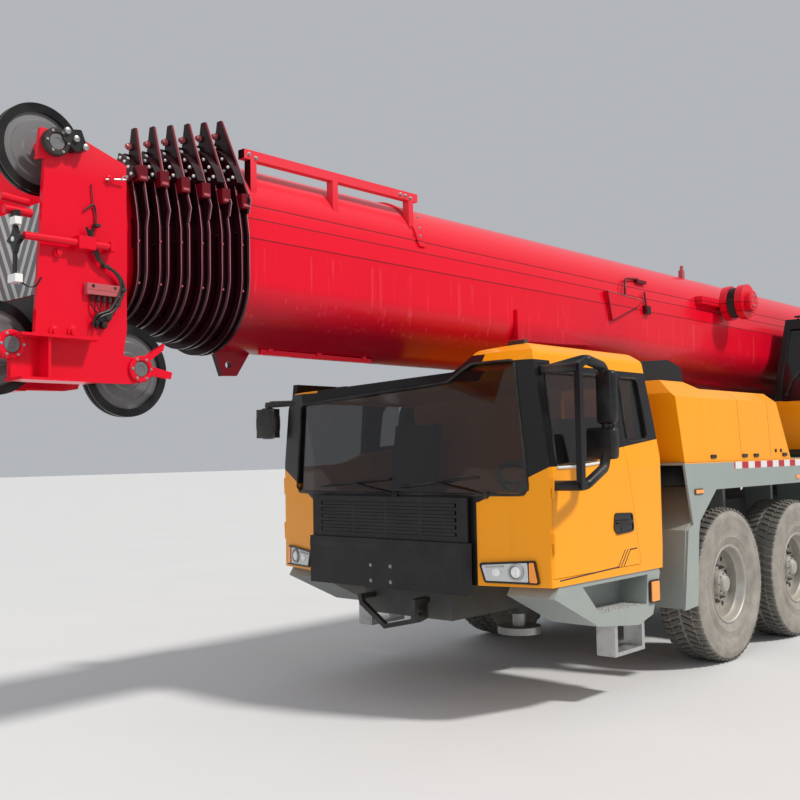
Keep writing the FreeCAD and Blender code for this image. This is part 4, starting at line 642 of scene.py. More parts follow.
def tyre_shape():
    """Left tyre about its own centre: ringed sidewalls, shoulder lugs and two rows of tread blocks."""
    s = Shape()
    half = [(0.148, 0.3305), (0.158, 0.332), (0.166, 0.345), (0.165, 0.356), (0.172, 0.37), (0.181, 0.396)]
    for radius in (0.412, 0.43, 0.448, 0.466):
        half += [(0.186, radius), (0.1885, radius + 0.003), (0.1885, radius + 0.008), (0.187, radius + 0.011)]
    half += [(0.1915, 0.495), (0.194, 0.515), (0.193, 0.56)]
    for radius in (0.572, 0.59):
        half += [(0.1915, radius), (0.1935, radius + 0.003), (0.1925, radius + 0.01)]
    half += [(0.188, 0.612), (0.185, 0.632), (0.176, 0.65), (0.16, 0.658)]
    s.lathe(half + [(-y, radius) for y, radius in reversed(half)], (0, 0, 0), "y", 96, True)
    s.paint(1)
    count = 60
    pitch = math.tau / count
    for i in range(count):
        for side, shift in ((1, 0.0), (-1, 0.5)):
            tread_block(s, (i + shift) * pitch, 0.66 * pitch, side * 0.112, side * 0.183, 0.1 * pitch)
            tread_block(s, (i + shift + 0.35) * pitch, 0.6 * pitch, side * 0.012, side * 0.1, 0.45 * pitch)
    return s


def tread_block(s, turn, width, near, far, skew):
    """One block of tread; its far end is set round the tyre by the skew."""
    low, high = (0.648, 0.6795)
    rows = []
    for y, offset in ((near, 0.0), (far, skew)):
        for radius, shrink in ((low, 0.0), (high, 0.06)):
            edge = width * (0.5 - shrink)
            drop = 0.01 if radius == high and abs(y) > 0.15 else 0.0
            inward = math.copysign(0.006 if radius == high else 0.0, y)
            for way in (-1, 1):
                across, up = polar(radius - drop, turn + offset + way * edge)
                rows.append((up, y - inward if y == far else y + inward, across))
    s.add(rows, [(0, 1, 5, 4), (2, 3, 7, 6), (0, 1, 3, 2), (4, 5, 7, 6), (0, 2, 6, 4), (1, 3, 7, 5)])


def rim_shape():
    """Left rim about its own centre: drop barrel, holed disc set well in, nut circle and domed hub."""
    s = Shape()
    s.lathe([
        (0.163, 0.329), (0.16, 0.34), (0.165, 0.346), (0.171, 0.343), (0.172, 0.334), (0.164, 0.324),
        (0.14, 0.314), (0.118, 0.31), (0.096, 0.296), (0.03, 0.292), (-0.06, 0.292), (-0.12, 0.308),
        (-0.16, 0.314), (-0.17, 0.334), (-0.165, 0.346), (-0.16, 0.34), (-0.163, 0.329), (-0.06, 0.322),
        (0.06, 0.322),
    ], (0, 0, 0), "y", 64, True)
    sector = math.tau / 10
    for i in range(10):
        start = i * sector
        line = [polar(0.294, start + sector * k / 7) for k in range(8)]
        line += [polar(0.204, start + sector * (1 - k / 7)) for k in range(8)]
        middle = Vector(polar(0.247, start + sector / 2))
        hole = [tuple(middle + (Vector(point) - middle).normalized() * 0.027) for point in line]
        s.frame(line, hole, "y", 0.01, 0.026)
    s.lathe([
        (0.006, 0.0), (0.006, 0.206), (0.027, 0.206), (0.033, 0.196), (0.033, 0.124), (0.027, 0.116), (0.06, 0.11),
        (0.096, 0.104), (0.108, 0.098), (0.112, 0.078), (0.126, 0.074), (0.14, 0.066), (0.148, 0.046), (0.152, 0.0),
    ], (0, 0, 0), "y", 56)
    s.paint(1)
    for i in range(10):
        centre = polar(0.162, (i + 0.5) * sector)
        s.prism(circle(0.0215, 14, centre), "y", 0.03, 0.037)
        s.prism(circle(0.0175, 6, centre, 0.2 * i), "y", 0.037, 0.058)
        s.prism(circle(0.01, 10, centre), "y", 0.058, 0.076)
    for centre in circle(0.088, 8):
        s.prism(circle(0.007, 6, centre), "y", 0.108, 0.118)
    s.paint(0)
    s.lathe([(-0.06, 0.1), (-0.06, 0.112), (0.006, 0.15), (0.008, 0.1)], (0, 0, 0), "y", 40, True)
    return s


def make_wheels():
    for kind, left, materials, slot in (("tyre", tyre_shape(), "rubber tread", "tyre_rubber"),
                                        ("rim", rim_shape(), "wheel gear", "wheel_steel")):
        for side, word in SIDES:
            mesh = mesh_of(f"{kind}_{word}", left if side > 0 else left.flipped(), materials, 28.0)
            for number, x in AXLE_X.items():
                node = f"axle_{number}_{kind}_{word}"
                put(f"{kind}_{number}_{word}", mesh, f"wheel_{number}_{word}", replaces=(node,),
                    place=(x, side * WHEEL_Y, TYRE_RADIUS))


# Boom head and boom

def sheave(s, x, z, y, radius, half=0.028):
    """Rope sheave: dark grooved rim on a paler webbed disc with a hub."""
    s.paint(0)
    s.lathe([(-half, radius - 0.006), (-half, radius), (-0.55 * half, radius), (-0.2 * half, radius - 0.024),
             (0.2 * half, radius - 0.024), (0.55 * half, radius), (half, radius), (half, radius - 0.006),
             (half, radius - 0.046), (-half, radius - 0.046)], (x, y, z), "y", 72, True)
    s.paint(1)
    for way in (-1, 1):
        s.lathe([(0.01, radius - 0.044), (0.012, 0.66 * radius), (0.019, 0.62 * radius), (0.019, 0.42 * radius),
                 (half, 0.38 * radius), (half, 0.165 * radius)], (x, y, z), "y", 56, False, way)


def make_sheaves():
    s = Shape()
    for x, z, radius, rows in SHEAVES:
        for y in rows:
            sheave(s, x, z, y, radius)
    make("head_sheaves", s, "boom_stage_6", "gloss_black sheave", 0.0, 30, ("boom_head_sheaves",))


def make_head_fittings():
    """Tie bar, bosses, pin covers and tabs of the head's side plates, in red, black and bare steel."""
    s = Shape()
    for side, _ in SIDES:
        y = side * HEAD_FACE
        s.paint(0)
        for x, z, r in ((6.875, 2.99, 0.016), (6.887, 2.565, 0.024), (6.782, 2.573, 0.024), (6.56, 3.45, 0.014)):
            s.lathe([(0.0, 0.0), (0.0, 1.5 * r), (0.01, 1.5 * r), (0.012, r), (0.03, r), (0.03, 0.0)],
                    (x, y, z), "y", 20, False, side)
        for x, z, key in ((6.39, 2.39, 0), (7.15, 2.48, 0), (6.9, 3.58, 1)):
            s.paint(key)
            s.lathe([(0.015, 0.075), (0.051, 0.075), (0.057, 0.069), (0.057, 0.05), (0.047, 0.046), (0.015, 0.046)],
                    (x, y, z), "y", 40, True, side)
            s.paint(3)
            s.lathe([(0.046, 0.0), (0.046, 0.045), (0.049, 0.043), (0.049, 0.022), (0.041, 0.02), (0.041, 0.0)],
                    (x, y, z), "y", 32, False, side)
            s.paint(2)
            for across, up in circle(0.06, 6, (x, z)):
                s.bolt((across, y + side * 0.057, up), "y", 0.006, 0.006, side)
    y = HEAD_FACE
    s.paint(0)
    s.tube([(6.575, y + 0.045, 3.057), (7.085, y + 0.045, 3.05)], 0.021, 16)
    s.box((6.686, y, 3.022), (6.787, y + 0.074, 3.092))
    s.box((6.56, y, 3.03), (6.592, y + 0.07, 3.084))
    s.tube([(6.99, y - 0.1, 3.262), (7.14, y - 0.1, 3.275)], 0.024, 16)
    s.tube([(6.99, y - 0.06, 3.196), (7.14, y - 0.06, 3.2)], 0.024, 16)
    s.paint(1)
    s.prism(rounded([(6.722, 3.565), (6.8, 3.545), (6.872, 3.6), (6.862, 3.655), (6.765, 3.672)], 0.012), "y",
            y, y + 0.06)
    s.paint(2)
    for x, z in ((6.745, 3.577), (6.852, 3.645), (6.8, 3.612)):
        s.lathe([(0.058, 0.0), (0.058, 0.02), (0.076, 0.018), (0.08, 0.01), (0.08, 0.0)], (x, y, z), "y", 16)
    s.tube([(6.592, y + 0.012, 3.441), (6.56, y + 0.02, 3.447), (6.47, y + 0.034, 3.458)], 0.006, 8)
    s.tube([(6.505, y + 0.03, 3.454), (6.49, y + 0.044, 3.476), (6.47, y + 0.034, 3.458)], 0.005, 8)
    make("head_fittings", s, "boom_stage_6", "red black steel sheave", 0.002)


def make_head_wiring():
    """Junction block with its glands, and the hoses and leads that run down the left plate."""
    y = HEAD_FACE
    s = Shape()
    s.box((6.513, y, 2.786), (6.716, y + 0.034, 2.848))
    s.box((6.52, y + 0.03, 2.812), (6.709, y + 0.036, 2.818))
    s.paint(1)
    for x in (6.545, 6.68):
        s.lathe([(0.033, 0.0), (0.033, 0.009), (0.037, 0.009), (0.038, 0.0)], (x, y, 2.833), "y", 14)
    for x in (6.536, 6.568, 6.604, 6.64, 6.676):
        s.tube([(x, y + 0.017, 2.788), (x, y + 0.017, 2.752)], 0.01, 10)
        s.tube(smooth_path([(x, y + 0.017, 2.756), (x + 0.004, y + 0.022, 2.722),
                            (0.5 * x + 3.305, y + 0.026, 2.678), (0.3 * x + 4.62, y + 0.028, 2.64)], 6), 0.0045, 6)
    for x, z, size in ((6.585, 2.672, 0.026), (6.628, 2.654, 0.022), (6.61, 2.622, 0.02), (6.655, 2.632, 0.016)):
        s.lathe([(0.004, 0.0), (0.004, size), (0.018, 1.08 * size), (0.036, 0.8 * size), (0.04, 0.0)],
                (x, y, z), "y", 16)
    main = [(6.7, y + 0.03, 3.14), (6.655, y + 0.034, 3.021), (6.622, y + 0.03, 2.966), (6.53, y + 0.03, 2.915),
            (6.488, y + 0.028, 2.85), (6.506, y + 0.028, 2.78), (6.56, y + 0.032, 2.7), (6.64, y + 0.032, 2.66),
            (6.66, y + 0.026, 2.6)]
    for radius, sides, path in (
            (0.0095, 10, main),
            (0.0075, 10, [(x + 0.022, out + 0.006, z + 0.01) for x, out, z in main]),
            (0.005, 8, [(6.725, y + 0.012, 3.243), (6.665, y + 0.014, 3.285), (6.65, y + 0.012, 3.2),
                        (6.672, y + 0.012, 3.12), (6.655, y + 0.03, 3.04)]),
            (0.0035, 8, [(6.675, y + 0.008, 3.4), (6.668, y + 0.01, 3.3), (6.652, y + 0.012, 3.23),
                         (6.648, y + 0.012, 3.16)])):
        s.tube(smooth_path(path), radius, sides)
    for x, z in ((6.652, 3.17), (6.6, 2.95), (6.492, 2.83), (6.53, 2.74)):
        s.box((x - 0.016, y, z - 0.008), (x + 0.016, y + 0.042, z + 0.008))
    make("head_wiring", s, "boom_stage_6", "pink black", 0.001, 40)


def make_head_sensor():
    """Star-shaped clamp with its two small boxes on a rod at the end of the tie bar."""
    s = Shape()
    star = [(0.335 + reach * math.sin(math.pi * k / 4), 3.035 + reach * math.cos(math.pi * k / 4))
            for k, reach in enumerate((0.082, 0.04) * 4)]
    s.prism(rounded(star, 0.01), "x", 7.086, 7.112)
    s.tube([(7.1, 0.335, 3.15), (7.1, 0.328, 2.85)], 0.012, 12)
    s.box((7.084, 0.308, 3.15), (7.116, 0.362, 3.186))
    s.tube(smooth_path([(7.1, 0.33, 2.85), (7.05, 0.345, 2.8), (7.0, 0.352, 2.8), (6.965, 0.352, 2.85)]), 0.005, 8)
    s.paint(1)
    s.box((7.082, 0.305, 3.112), (7.118, 0.365, 3.152))
    s.box((7.078, 0.29, 2.808), (7.12, 0.372, 2.852))
    s.lathe([(0.0, 0.0), (0.0, 0.014), (0.008, 0.012), (0.01, 0.0)], (7.112, 0.335, 3.035), "x", 16)
    make("head_sensor", s, "boom_stage_6", "gloss_black white", 0.003)


def make_head_plates():
    """Chevron board and the dark board under it, between the side plates."""
    s = Shape()
    s.box((6.901, -0.318, 2.785), (6.909, 0.318, 3.279))
    s.paint(1)
    s.box((6.901, -0.318, 2.625), (6.907, 0.318, 2.78))
    make("head_chevron_board", s, "boom_stage_6", "chevron black", 0.001)


def on_arc(radius, degrees):
    """Point on a circle about the crown's centre, as (y, z), by its angle from the top towards the left."""
    turn = math.radians(degrees)
    return radius * math.sin(turn), CROWN_Z + radius * math.cos(turn)


def make_mouth_trim(index, body):
    """Bolted shoe retainer, bracket with its pin and cap, guide block and side bolts of one section's mouth."""
    front = BASE_COLLAR_FRONT + index * COLLAR_PITCH
    inset = index * SECTION_STEP
    fin_face = front - 0.046
    s = Shape()
    low, high = 0.377 - inset, 0.458 - inset
    band = [on_arc(high, angle) for angle in range(22, 71, 6)] + [on_arc(low, angle) for angle in range(70, 21, -6)]
    # The band, like the bracket below, is in the mouth's dark maroon: painted shade and grease.
    s.prism(band, "x", fin_face + 0.0005, front + 0.01)
    s.paint(2)
    for row in range(4):
        for radius, turn in ((0.394, 0.0), (0.436, 2.0)):
            y, z = on_arc(radius - inset, 27 + 11.5 * row + turn)
            s.lathe([(0.009, 0.0), (0.009, 0.0105), (0.018, 0.0095), (0.021, 0.005), (0.021, 0.0)],
                    (front, y, z), "x", 12)
    drop = index * 0.04
    s.paint(0)
    s.prism([(y, z - drop) for y, z in ((0.128, 3.842), (0.176, 3.842), (0.176, 3.852), (0.14, 3.892), (0.128, 3.892))],
            "x", fin_face, fin_face + 0.034)
    s.paint(2)
    s.tube([(fin_face + 0.01, 0.13, 3.872 - drop), (fin_face + 0.046, 0.196, 3.846 - drop)], 0.009, 10)
    s.paint(3)
    s.lathe([(0.0, 0.0), (0.0, 0.022), (0.014, 0.022), (0.018, 0.016), (0.03, 0.014), (0.032, 0.0)],
            (fin_face, 0.15, 3.935 - drop), "x", 16)
    s.paint(1)
    middle = 3.46 + 0.017 * index
    block = rounded([(front - 0.068, middle - 0.042), (front - 0.004, middle - 0.046),
                     (front - 0.002, middle + 0.044), (front - 0.062, middle + 0.05)], 0.005)
    s.prism(block, "y", 0.375 - inset, 0.462 - inset)
    s.paint(3)
    s.box((front - 0.056, 0.461 - inset, middle - 0.034), (front - 0.014, 0.466 - inset, middle - 0.018))
    for z in (3.185 - 0.008 * index, 2.9):
        s.bolt((front - 0.007, BOOM_HALF_WIDTH + COLLAR_DEPTH - inset, z), "y", 0.005, 0.005)
    make(f"mouth_trim_{index + 1}", s, body, "maroon deep_red white pink", 0.0015)


def make_rail_bolts():
    """Bolts of the rail on the crown, and the red strip with its blocks under the base section."""
    s = Shape()
    for x, z in ((5.562, 3.802), (5.505, 3.788), (4.03, 3.79), (4.085, 3.8), (4.14, 3.8)):
        s.bolt((x, 0.352, z), "y", 0.011, 0.012)
    for x, z in ((4.018, 3.64), (4.006, 3.56), (3.994, 3.5)):
        s.bolt((x, 0.412, z), "y", 0.008, 0.01)
    s.paint(1)
    s.prism(rounded([(5.3, 2.56), (4.25, 2.56), (4.25, 2.59), (5.3, 2.596)], 0.006), "y", 0.105, 0.135)
    for x in (5.22, 4.78, 4.33):
        s.box((x - 0.02, 0.095, 2.575), (x + 0.02, 0.145, 2.606))
    make("boom_rail_bolts", s, "boom_base", "steel red", 0.002)


def make_boom_brackets():
    """Cable guides on the base section's left shoulder, and lines along the edges of its triangular bracket: a painted
    highlight on top and painted shade below.
    """
    s = Shape()
    s.tube(bent([(1.06, 0.428, 3.33), (1.05, 0.425, 3.44), (0.98, 0.395, 3.54), (0.72, 0.375, 3.566)], 0.06), 0.011)
    s.box((0.58, 0.34, 3.525), (0.76, 0.4, 3.558))
    s.box((0.61, 0.415, 3.215), (0.7, 0.456, 3.3))
    s.tube([(0.655, 0.43, 3.3), (0.655, 0.412, 3.44)], 0.01, 10)
    s.paint(1)
    s.box((0.618, 0.454, 3.226), (0.692, 0.462, 3.288))
    s.paint(2)
    s.box((-0.64, 0.15, 3.73), (-0.59, 0.2, 3.84))
    s.tube([(-0.615, 0.175, 3.835), (-0.625, 0.175, 3.89)], 0.02, 14)
    # Pale line along the bracket's top edges: painted highlight.
    s.tube([(1.405, 0.446, 3.371), (0.756, 0.446, 3.342), (0.818, 0.446, 3.287)], 0.005, 8)
    # Dark red lines along its lower edges: painted shade.
    s.paint(0)
    s.tube([(1.405, 0.446, 3.369), (1.332, 0.446, 3.098)], 0.006, 8)
    s.tube([(1.332, 0.446, 3.096), (0.818, 0.446, 3.285)], 0.004, 8)
    make("boom_cable_guides", s, "boom_base", "deep_red black pink", 0.002, 35)


def make_reel_trim():
    """Cable wound on the reel at the boom's left side, and its cover plate."""
    s = Shape()
    for turn in range(7):
        ring = [(x, 0.538 + 0.0135 * turn, z) for x, z in circle(0.158, 48, REEL)]
        s.tube(ring + [ring[0]], 0.0075, 8)
    s.paint(1)
    s.lathe([(0.349, 0.0), (0.349, 0.085), (0.356, 0.08), (0.356, 0.0)], at("y", *REEL, 0.42), "y", 32)
    s.paint(2)
    for x, z in circle(0.062, 6, REEL):
        s.bolt((x, 0.776, z), "y", 0.009, 0.01)
    make("reel_cable", s, "boom_base", "black red steel", 0.0, 35)


# Places on the model's surfaces, found by rays

def skin(*nodes):
    """The nodes' surfaces as one tree that rays can be cast at."""
    points, faces = [], []
    for name in nodes:
        node = NODES[name]
        base = len(points)
        points += [node.matrix_world @ vertex.co for vertex in node.data.vertices]
        faces += [tuple(base + i for i in polygon.vertices) for polygon in node.data.polygons]
    return BVHTree.FromPolygons(points, faces)


CAB_SKIN = skin("cab_shell", "cab_glass", "cab_door_left", "cab_door_left_glass", "front_panel")
CAB_SKIN_RIGHT = skin("cab_shell", "cab_glass", "cab_door_right", "cab_door_right_glass")


def front_x(y, z):
    return CAB_SKIN.ray_cast(Vector((4.6, y, z)), Vector((-1, 0, 0)))[0].x


def roof_z(x, y):
    return CAB_SKIN.ray_cast(Vector((x, y, 3.2)), Vector((0, 0, -1)))[0].z


def side_y(x, z, side):
    tree = CAB_SKIN if side > 0 else CAB_SKIN_RIGHT
    hit = tree.ray_cast(Vector((x, side * 1.39, z)), Vector((0, -side, 0)))[0]
    return hit.y if hit else side * HALF_WIDTH


def dense(outline, step=0.08):
    """The closed outline with points added, so that a line laid on a bent surface follows it."""
    result = []
    for a, b in zip(outline, outline[1:] + outline[:1]):
        count = max(1, round((Vector(b) - Vector(a)).length / step))
        result += [tuple(Vector(a).lerp(Vector(b), k / count)) for k in range(count)]
    return result


# Carrier cab

# Outlines of the cab's windows: x and z for the sides, y and z for the windscreen
DOOR_WINDOW = [(2.87, 1.89), (2.89, 2.44), (3.69, 2.44), (3.7, 1.79), (3.15, 1.81)]
QUARTER_WINDOW = [(2.39, 1.98), (2.42, 2.44), (2.7, 2.44), (2.69, 1.96)]
WINDSCREEN = [(-1.12, 1.6), (-1.03, 2.3), (0.56, 2.4), (0.76, 2.52), (1.13, 2.52), (1.21, 1.6)]
# The door window's sloping sill
SILL = ((3.7, 1.772), (3.5, 1.776), (3.3, 1.786), (3.15, 1.796), (3.0, 1.838), (2.875, 1.876))


def side_seal(s, outline, side):
    line = [(x, side_y(x, z, side) + side * 0.001, z) for x, z in dense(rounded(grown(outline, 0.01), 0.05))]
    s.tube(line + [line[0], line[1]], 0.01, 8)


def make_window_seals():
    s = Shape()
    for side, _ in SIDES:
        side_seal(s, QUARTER_WINDOW, side)
    line = [(front_x(y, z) + 0.001, y, z) for y, z in dense(rounded(grown(WINDSCREEN, 0.012), 0.06))]
    s.tube(line + [line[0], line[1]], 0.011, 8)
    make("cab_window_seals", s, "carrier", "black", 0.0, 40)
    for side, word in SIDES:
        s = Shape()
        side_seal(s, DOOR_WINDOW, side)
        s.paint(1)
        s.tube([(x, side_y(x, z, side) + side * 0.003, z) for x, z in SILL], 0.012, 8)
        make(f"door_window_seal_{word}", s, f"cab_door_{word}", "black white", 0.0, 40)


def make_wipers():
    """Two windscreen wipers: pivot cap, bent arm and blade."""
    def point(y, z, out):
        return front_x(y, z) + out, y, z

    s = Shape()
    for pivot, tip, start, end in (((0.1, 1.585), (-0.36, 1.665), (-0.74, 1.64), (0.02, 1.7)),
                                   ((0.92, 1.585), (0.5, 1.675), (0.14, 1.64), (0.86, 1.712))):
        s.lathe([(0.0, 0.0), (0.0, 0.026), (0.02, 0.022), (0.024, 0.0)], point(*pivot, 0.0), "x", 20)
        s.tube([point(*pivot, 0.022), point(0.5 * (pivot[0] + tip[0]), 0.5 * (pivot[1] + tip[1]), 0.034),
                point(*tip, 0.024)], 0.008, 8)
        s.tube([point(start[0] + t * (end[0] - start[0]), start[1] + t * (end[1] - start[1]), 0.012)
                for t in (0.0, 0.25, 0.5, 0.75, 1.0)], 0.009, 8)
    make("cab_wipers", s, "carrier", "black", 0.0, 40)


def headlamp(s, side):
    """Headlamp on the cab's slanted corner: bezel, bright bowl with a projector, lamp strip and amber end."""
    inner, outer = (Vector((front_x(y, 1.05), y, 1.05)) for y in (0.9, 1.26))
    across, up = (outer - inner).normalized(), Vector((0, 0, 1))
    out = across.cross(up)
    if out.x < 0:
        out = -out
    turn = Matrix((across, up, out)).transposed().to_4x4()
    s.place = Matrix.Translation((inner + outer) / 2) @ turn
    if side < 0:
        s.place = Matrix.Scale(-1, 4, Vector((0, 1, 0))) @ s.place
    outline = rounded([(-0.225, 0.062), (0.19, 0.088), (0.222, -0.078), (-0.185, -0.074)], 0.018)
    s.paint(0)
    s.frame(outline, grown(outline, -0.011), "z", -0.012, 0.0245)
    s.prism(grown(outline, -0.01), "z", -0.01, 0.0235)
    s.paint(1)
    s.prism(rounded([(-0.206, 0.048), (0.135, 0.07), (0.14, -0.062), (-0.172, -0.06)], 0.012), "z", 0.02, 0.0245)
    s.paint(2)
    s.lathe([(0.024, 0.06), (0.034, 0.058), (0.036, 0.046), (0.026, 0.042)], (0.052, 0.004, 0.0), "z", 36, True)
    s.paint(3)
    s.lathe([(0.024, 0.042), (0.032, 0.036), (0.037, 0.02), (0.039, 0.0)], (0.052, 0.004, 0.0), "z", 32)
    s.lathe([(0.024, 0.03), (0.03, 0.028), (0.033, 0.016), (0.034, 0.0)], (-0.095, 0.0, 0.0), "z", 28)
    s.paint(2)
    for k in range(6):
        s.box((-0.178 + 0.024 * k, 0.03 + 0.0015 * k, 0.0245), (-0.16 + 0.024 * k, 0.042 + 0.0015 * k, 0.03))
    s.paint(4)
    s.prism(rounded([(0.148, 0.071), (0.18, 0.074), (0.207, -0.066), (0.15, -0.063)], 0.01), "z", 0.02, 0.03)
    s.place = None


def rear_lamp(s, side):
    """Rear lamp in its black housing: red, amber and clear lenses in a row."""
    y = side * 1.0
    s.paint(0)
    s.box((-7.4, y - 0.2, 0.76), (-7.36, y + 0.2, 0.9))
    for key, low, high in ((5, -0.186, -0.02), (4, -0.012, 0.09), (3, 0.098, 0.186)):
        s.paint(key)
        s.prism(oblong((y + low, 0.774), (y + high, 0.886), 0.012), "x", -7.404, -7.396)


def make_lamps():
    s = Shape()
    for side, _ in SIDES:
        headlamp(s, side)
        rear_lamp(s, side)
    make("head_and_rear_lamps", s, "carrier", "gloss_black reflector steel clear amber red_lens", 0.0, 32,
         ("lamps",))
    s = Shape()
    for x, y, width in ((3.7, 1.07, 0.075), (3.66, -0.78, 0.055)):
        z = roof_z(x, y)
        s.paint(0)
        s.box((x - 0.035, y - width, z - 0.01), (x + 0.035, y + width, z + 0.012))
        s.paint(1)
        s.prism(rounded([(x - 0.03, z + 0.01), (x + 0.03, z + 0.01), (x + 0.022, z + 0.036), (x - 0.02, z + 0.038)],
                        0.008), "y", y - width + 0.006, y + width - 0.006)
    make("roof_marker_lamps", s, "carrier", "black smoked_amber", 0.002)
    s = Shape()
    for side, _ in SIDES:
        y = side * HALF_WIDTH
        s.paint(0)
        ends = outward(y, side, -0.002, 0.008)
        s.prism(oblong((1.5, 1.5), (1.656, 1.548), 0.012), "y", *ends)
        s.prism(oblong((2.318, 0.69), (2.462, 0.868), 0.018), "y", *ends)
        s.paint(1)
        ends = outward(y, side, 0.006, 0.016)
        s.prism(oblong((1.51, 1.508), (1.646, 1.54), 0.01), "y", *ends)
        s.prism(oblong((2.33, 0.702), (2.45, 0.856), 0.014), "y", *ends)
        for x in (-0.6, -2.2, -3.9, -5.6, -7.1):
            z = 1.59 if x > -2.5 else 1.45
            s.prism(oblong((x - 0.045, z - 0.018), (x + 0.045, z + 0.018), 0.008), "y", *outward(y, side, -0.002, 0.01))
    make("side_marker_lamps", s, "carrier", "black amber", 0.0015)


def make_front_trim():
    """Blades in the grille's slots; bolts, seams, top strip and dark recess of the bumper."""
    s = Shape()
    for row in range(5):
        z = 1.29 + 0.052 * row
        for y in (-0.5265, -0.175, 0.175, 0.5265):
            s.box((3.974, y - 0.161, z + 0.0006), (3.9949, y + 0.161, z + 0.0254))
    make("grille_blades", s, "carrier", "panel", 0.0008)
    s = Shape()
    for y in (-0.12, 0.085):
        for z in (0.931, 1.048):
            s.bolt((4.0303, y, z), "x", 0.011, 0.01)
    s.paint(1)
    s.box((4.029, 0.424, 0.89), (4.0315, 0.545, 0.925))
    for y in (-0.785, 0.232, 0.785):
        s.box((4.0285, y - 0.0025, 0.885), (4.0312, y + 0.0025, 1.165))
    s.box((3.99, -0.8, 1.166), (4.0312, 0.8, 1.216))
    make("bumper_trim", s, "carrier", "steel gloss_black", 0.001)


def make_door_trim(side, word):
    """Recessed handle with its lock, and the brown stripes low on the door."""
    y = side * HALF_WIDTH
    s = Shape()
    outline = rounded([(2.682, 1.268), (2.7, 1.408), (2.96, 1.418), (2.976, 1.3), (2.93, 1.256)], 0.035)
    s.frame(outline, grown(outline, -0.012), "y", *outward(y, side, -0.001, 0.01))
    s.paint(1)
    s.prism(grown(outline, -0.011), "y", *outward(y, side, -0.001, 0.003))
    s.paint(0)
    s.tube(bent([(x, y + side * out, z) for x, out, z in
                 ((2.94, 0.002, 1.345), (2.915, 0.02, 1.348), (2.735, 0.02, 1.345), (2.71, 0.002, 1.342))], 0.02),
           0.013, 12)
    s.lathe([(0.003, 0.0), (0.003, 0.014), (0.008, 0.012), (0.008, 0.0)], (2.86, y, 1.292), "y", 16, False, side)
    s.paint(2)
    stripes = [[(3.702, 0.986), (3.702, 0.996), (2.905, 1.02), (2.905, 1.01)]]
    for foot in (2.925, 2.885, 2.845):
        stripes.append([(foot, 1.012), (foot - 0.012, 1.012), (foot - 0.118, 1.136), (foot - 0.106, 1.136)])
    stripes.append([(2.745, 1.126), (2.745, 1.136), (2.635, 1.139), (2.635, 1.129)])
    for stripe in stripes:
        s.prism(stripe, "y", *outward(y, side, -0.001, 0.0012))
    make(f"door_trim_{word}", s, f"cab_door_{word}", "black gloss_black stripe")


# Loop of the left mirror's arm seen from the side, x and z, and how far out it lies
MIRROR_LOOP = [(3.735, 2.457), (3.64, 2.515), (3.43, 2.478), (3.383, 2.42), (3.383, 1.9), (3.435, 1.762),
               (3.68, 1.648), (3.735, 1.648)]
MIRROR_Y = 1.5875


def pillow(s, low, high, round_by, crown, steps=5):
    """Mirror housing with a rounded outline and an edge drawn in towards its front and back."""
    outline = oblong(low[1:], high[1:], round_by, steps)
    count = len(outline)
    near, far = low[0], high[0]
    rings = [(near, -crown), (near + 0.35 * crown, -0.4 * crown), (near + crown, 0.0), (far - crown, 0.0),
             (far - 0.35 * crown, -0.4 * crown), (far, -crown)]
    points = [(x, y, z) for x, margin in rings for y, z in grown(outline, margin)]
    faces = [tuple(range(count)), tuple(range(5 * count, 6 * count))]
    for start in range(0, 5 * count, count):
        faces += [(start + i, start + (i + 1) % count, start + count + (i + 1) % count, start + count + i)
                  for i in range(count)]
    s.add(points, faces)


def make_mirrors():
    """Left mirrors on their loop, which ride on the door, and the right one on its arm, each with its glass."""
    s = Shape()
    ends = (0, len(MIRROR_LOOP) - 1)
    loop = [(x, 1.36 if k in ends else MIRROR_Y, z) for k, (x, z) in enumerate(MIRROR_LOOP)]
    s.tube(bent(loop, 0.06, 8), 0.036, 16)
    for z in (2.457, 1.648):
        s.tube([(3.735, 1.3, z), (3.735, MIRROR_Y, z)], 0.034, 16)
    pillow(s, (3.345, 1.525, 2.07), (3.432, 1.672, 2.45), 0.04, 0.022)
    pillow(s, (3.345, 1.435, 1.822), (3.432, 1.672, 2.048), 0.04, 0.022)
    s.paint(1)
    s.box((3.344, 1.545, 2.095), (3.3465, 1.652, 2.425))
    s.box((3.344, 1.456, 1.845), (3.3465, 1.652, 2.026))
    make("mirror_left", s, "cab_door_left", "black mirror", 0.0, 40)
    s = Shape()
    pillow(s, (3.785, -1.672, 2.04), (3.872, -1.408, 2.312), 0.115, 0.026, 10)
    s.tube(bent([(3.83, -1.0, 2.33), (3.83, -1.5, 2.345), (3.83, -1.545, 2.29)], 0.04), 0.026, 14)
    s.paint(1)
    s.prism(oblong((-1.65, 2.062), (-1.43, 2.29), 0.1, 10), "x", 3.784, 3.7865)
    make("mirror_right", s, "carrier", "black mirror", 0.0, 40)


# Hood, deck and superstructure

def make_hood_trim():
    """Latches and catches along the hood's sides, and three straps across its top."""
    s = Shape()
    for side, _ in SIDES:
        y = side * HOUSING_SIDE
        for x in (0.3, 0.55, 1.2, -0.38):
            s.prism(oblong((x - 0.05, 1.8), (x + 0.05, 1.832), 0.01), "y", *outward(y, side, -0.014, 0.01))
        for x in (-0.3, -0.172):
            s.prism([(x - 0.018, 1.84), (x + 0.018, 1.84), (x + 0.018, 1.872), (x - 0.018, 1.872)], "y",
                    *outward(y, side, -0.02, 0.003))
    s.paint(1)
    for x in (0.2, 0.0, -0.2):
        s.box((x - 0.05, -0.9, 2.4195), (x + 0.05, 0.5, 2.432))
    make("hood_latches", s, "carrier", "black orange", 0.002)


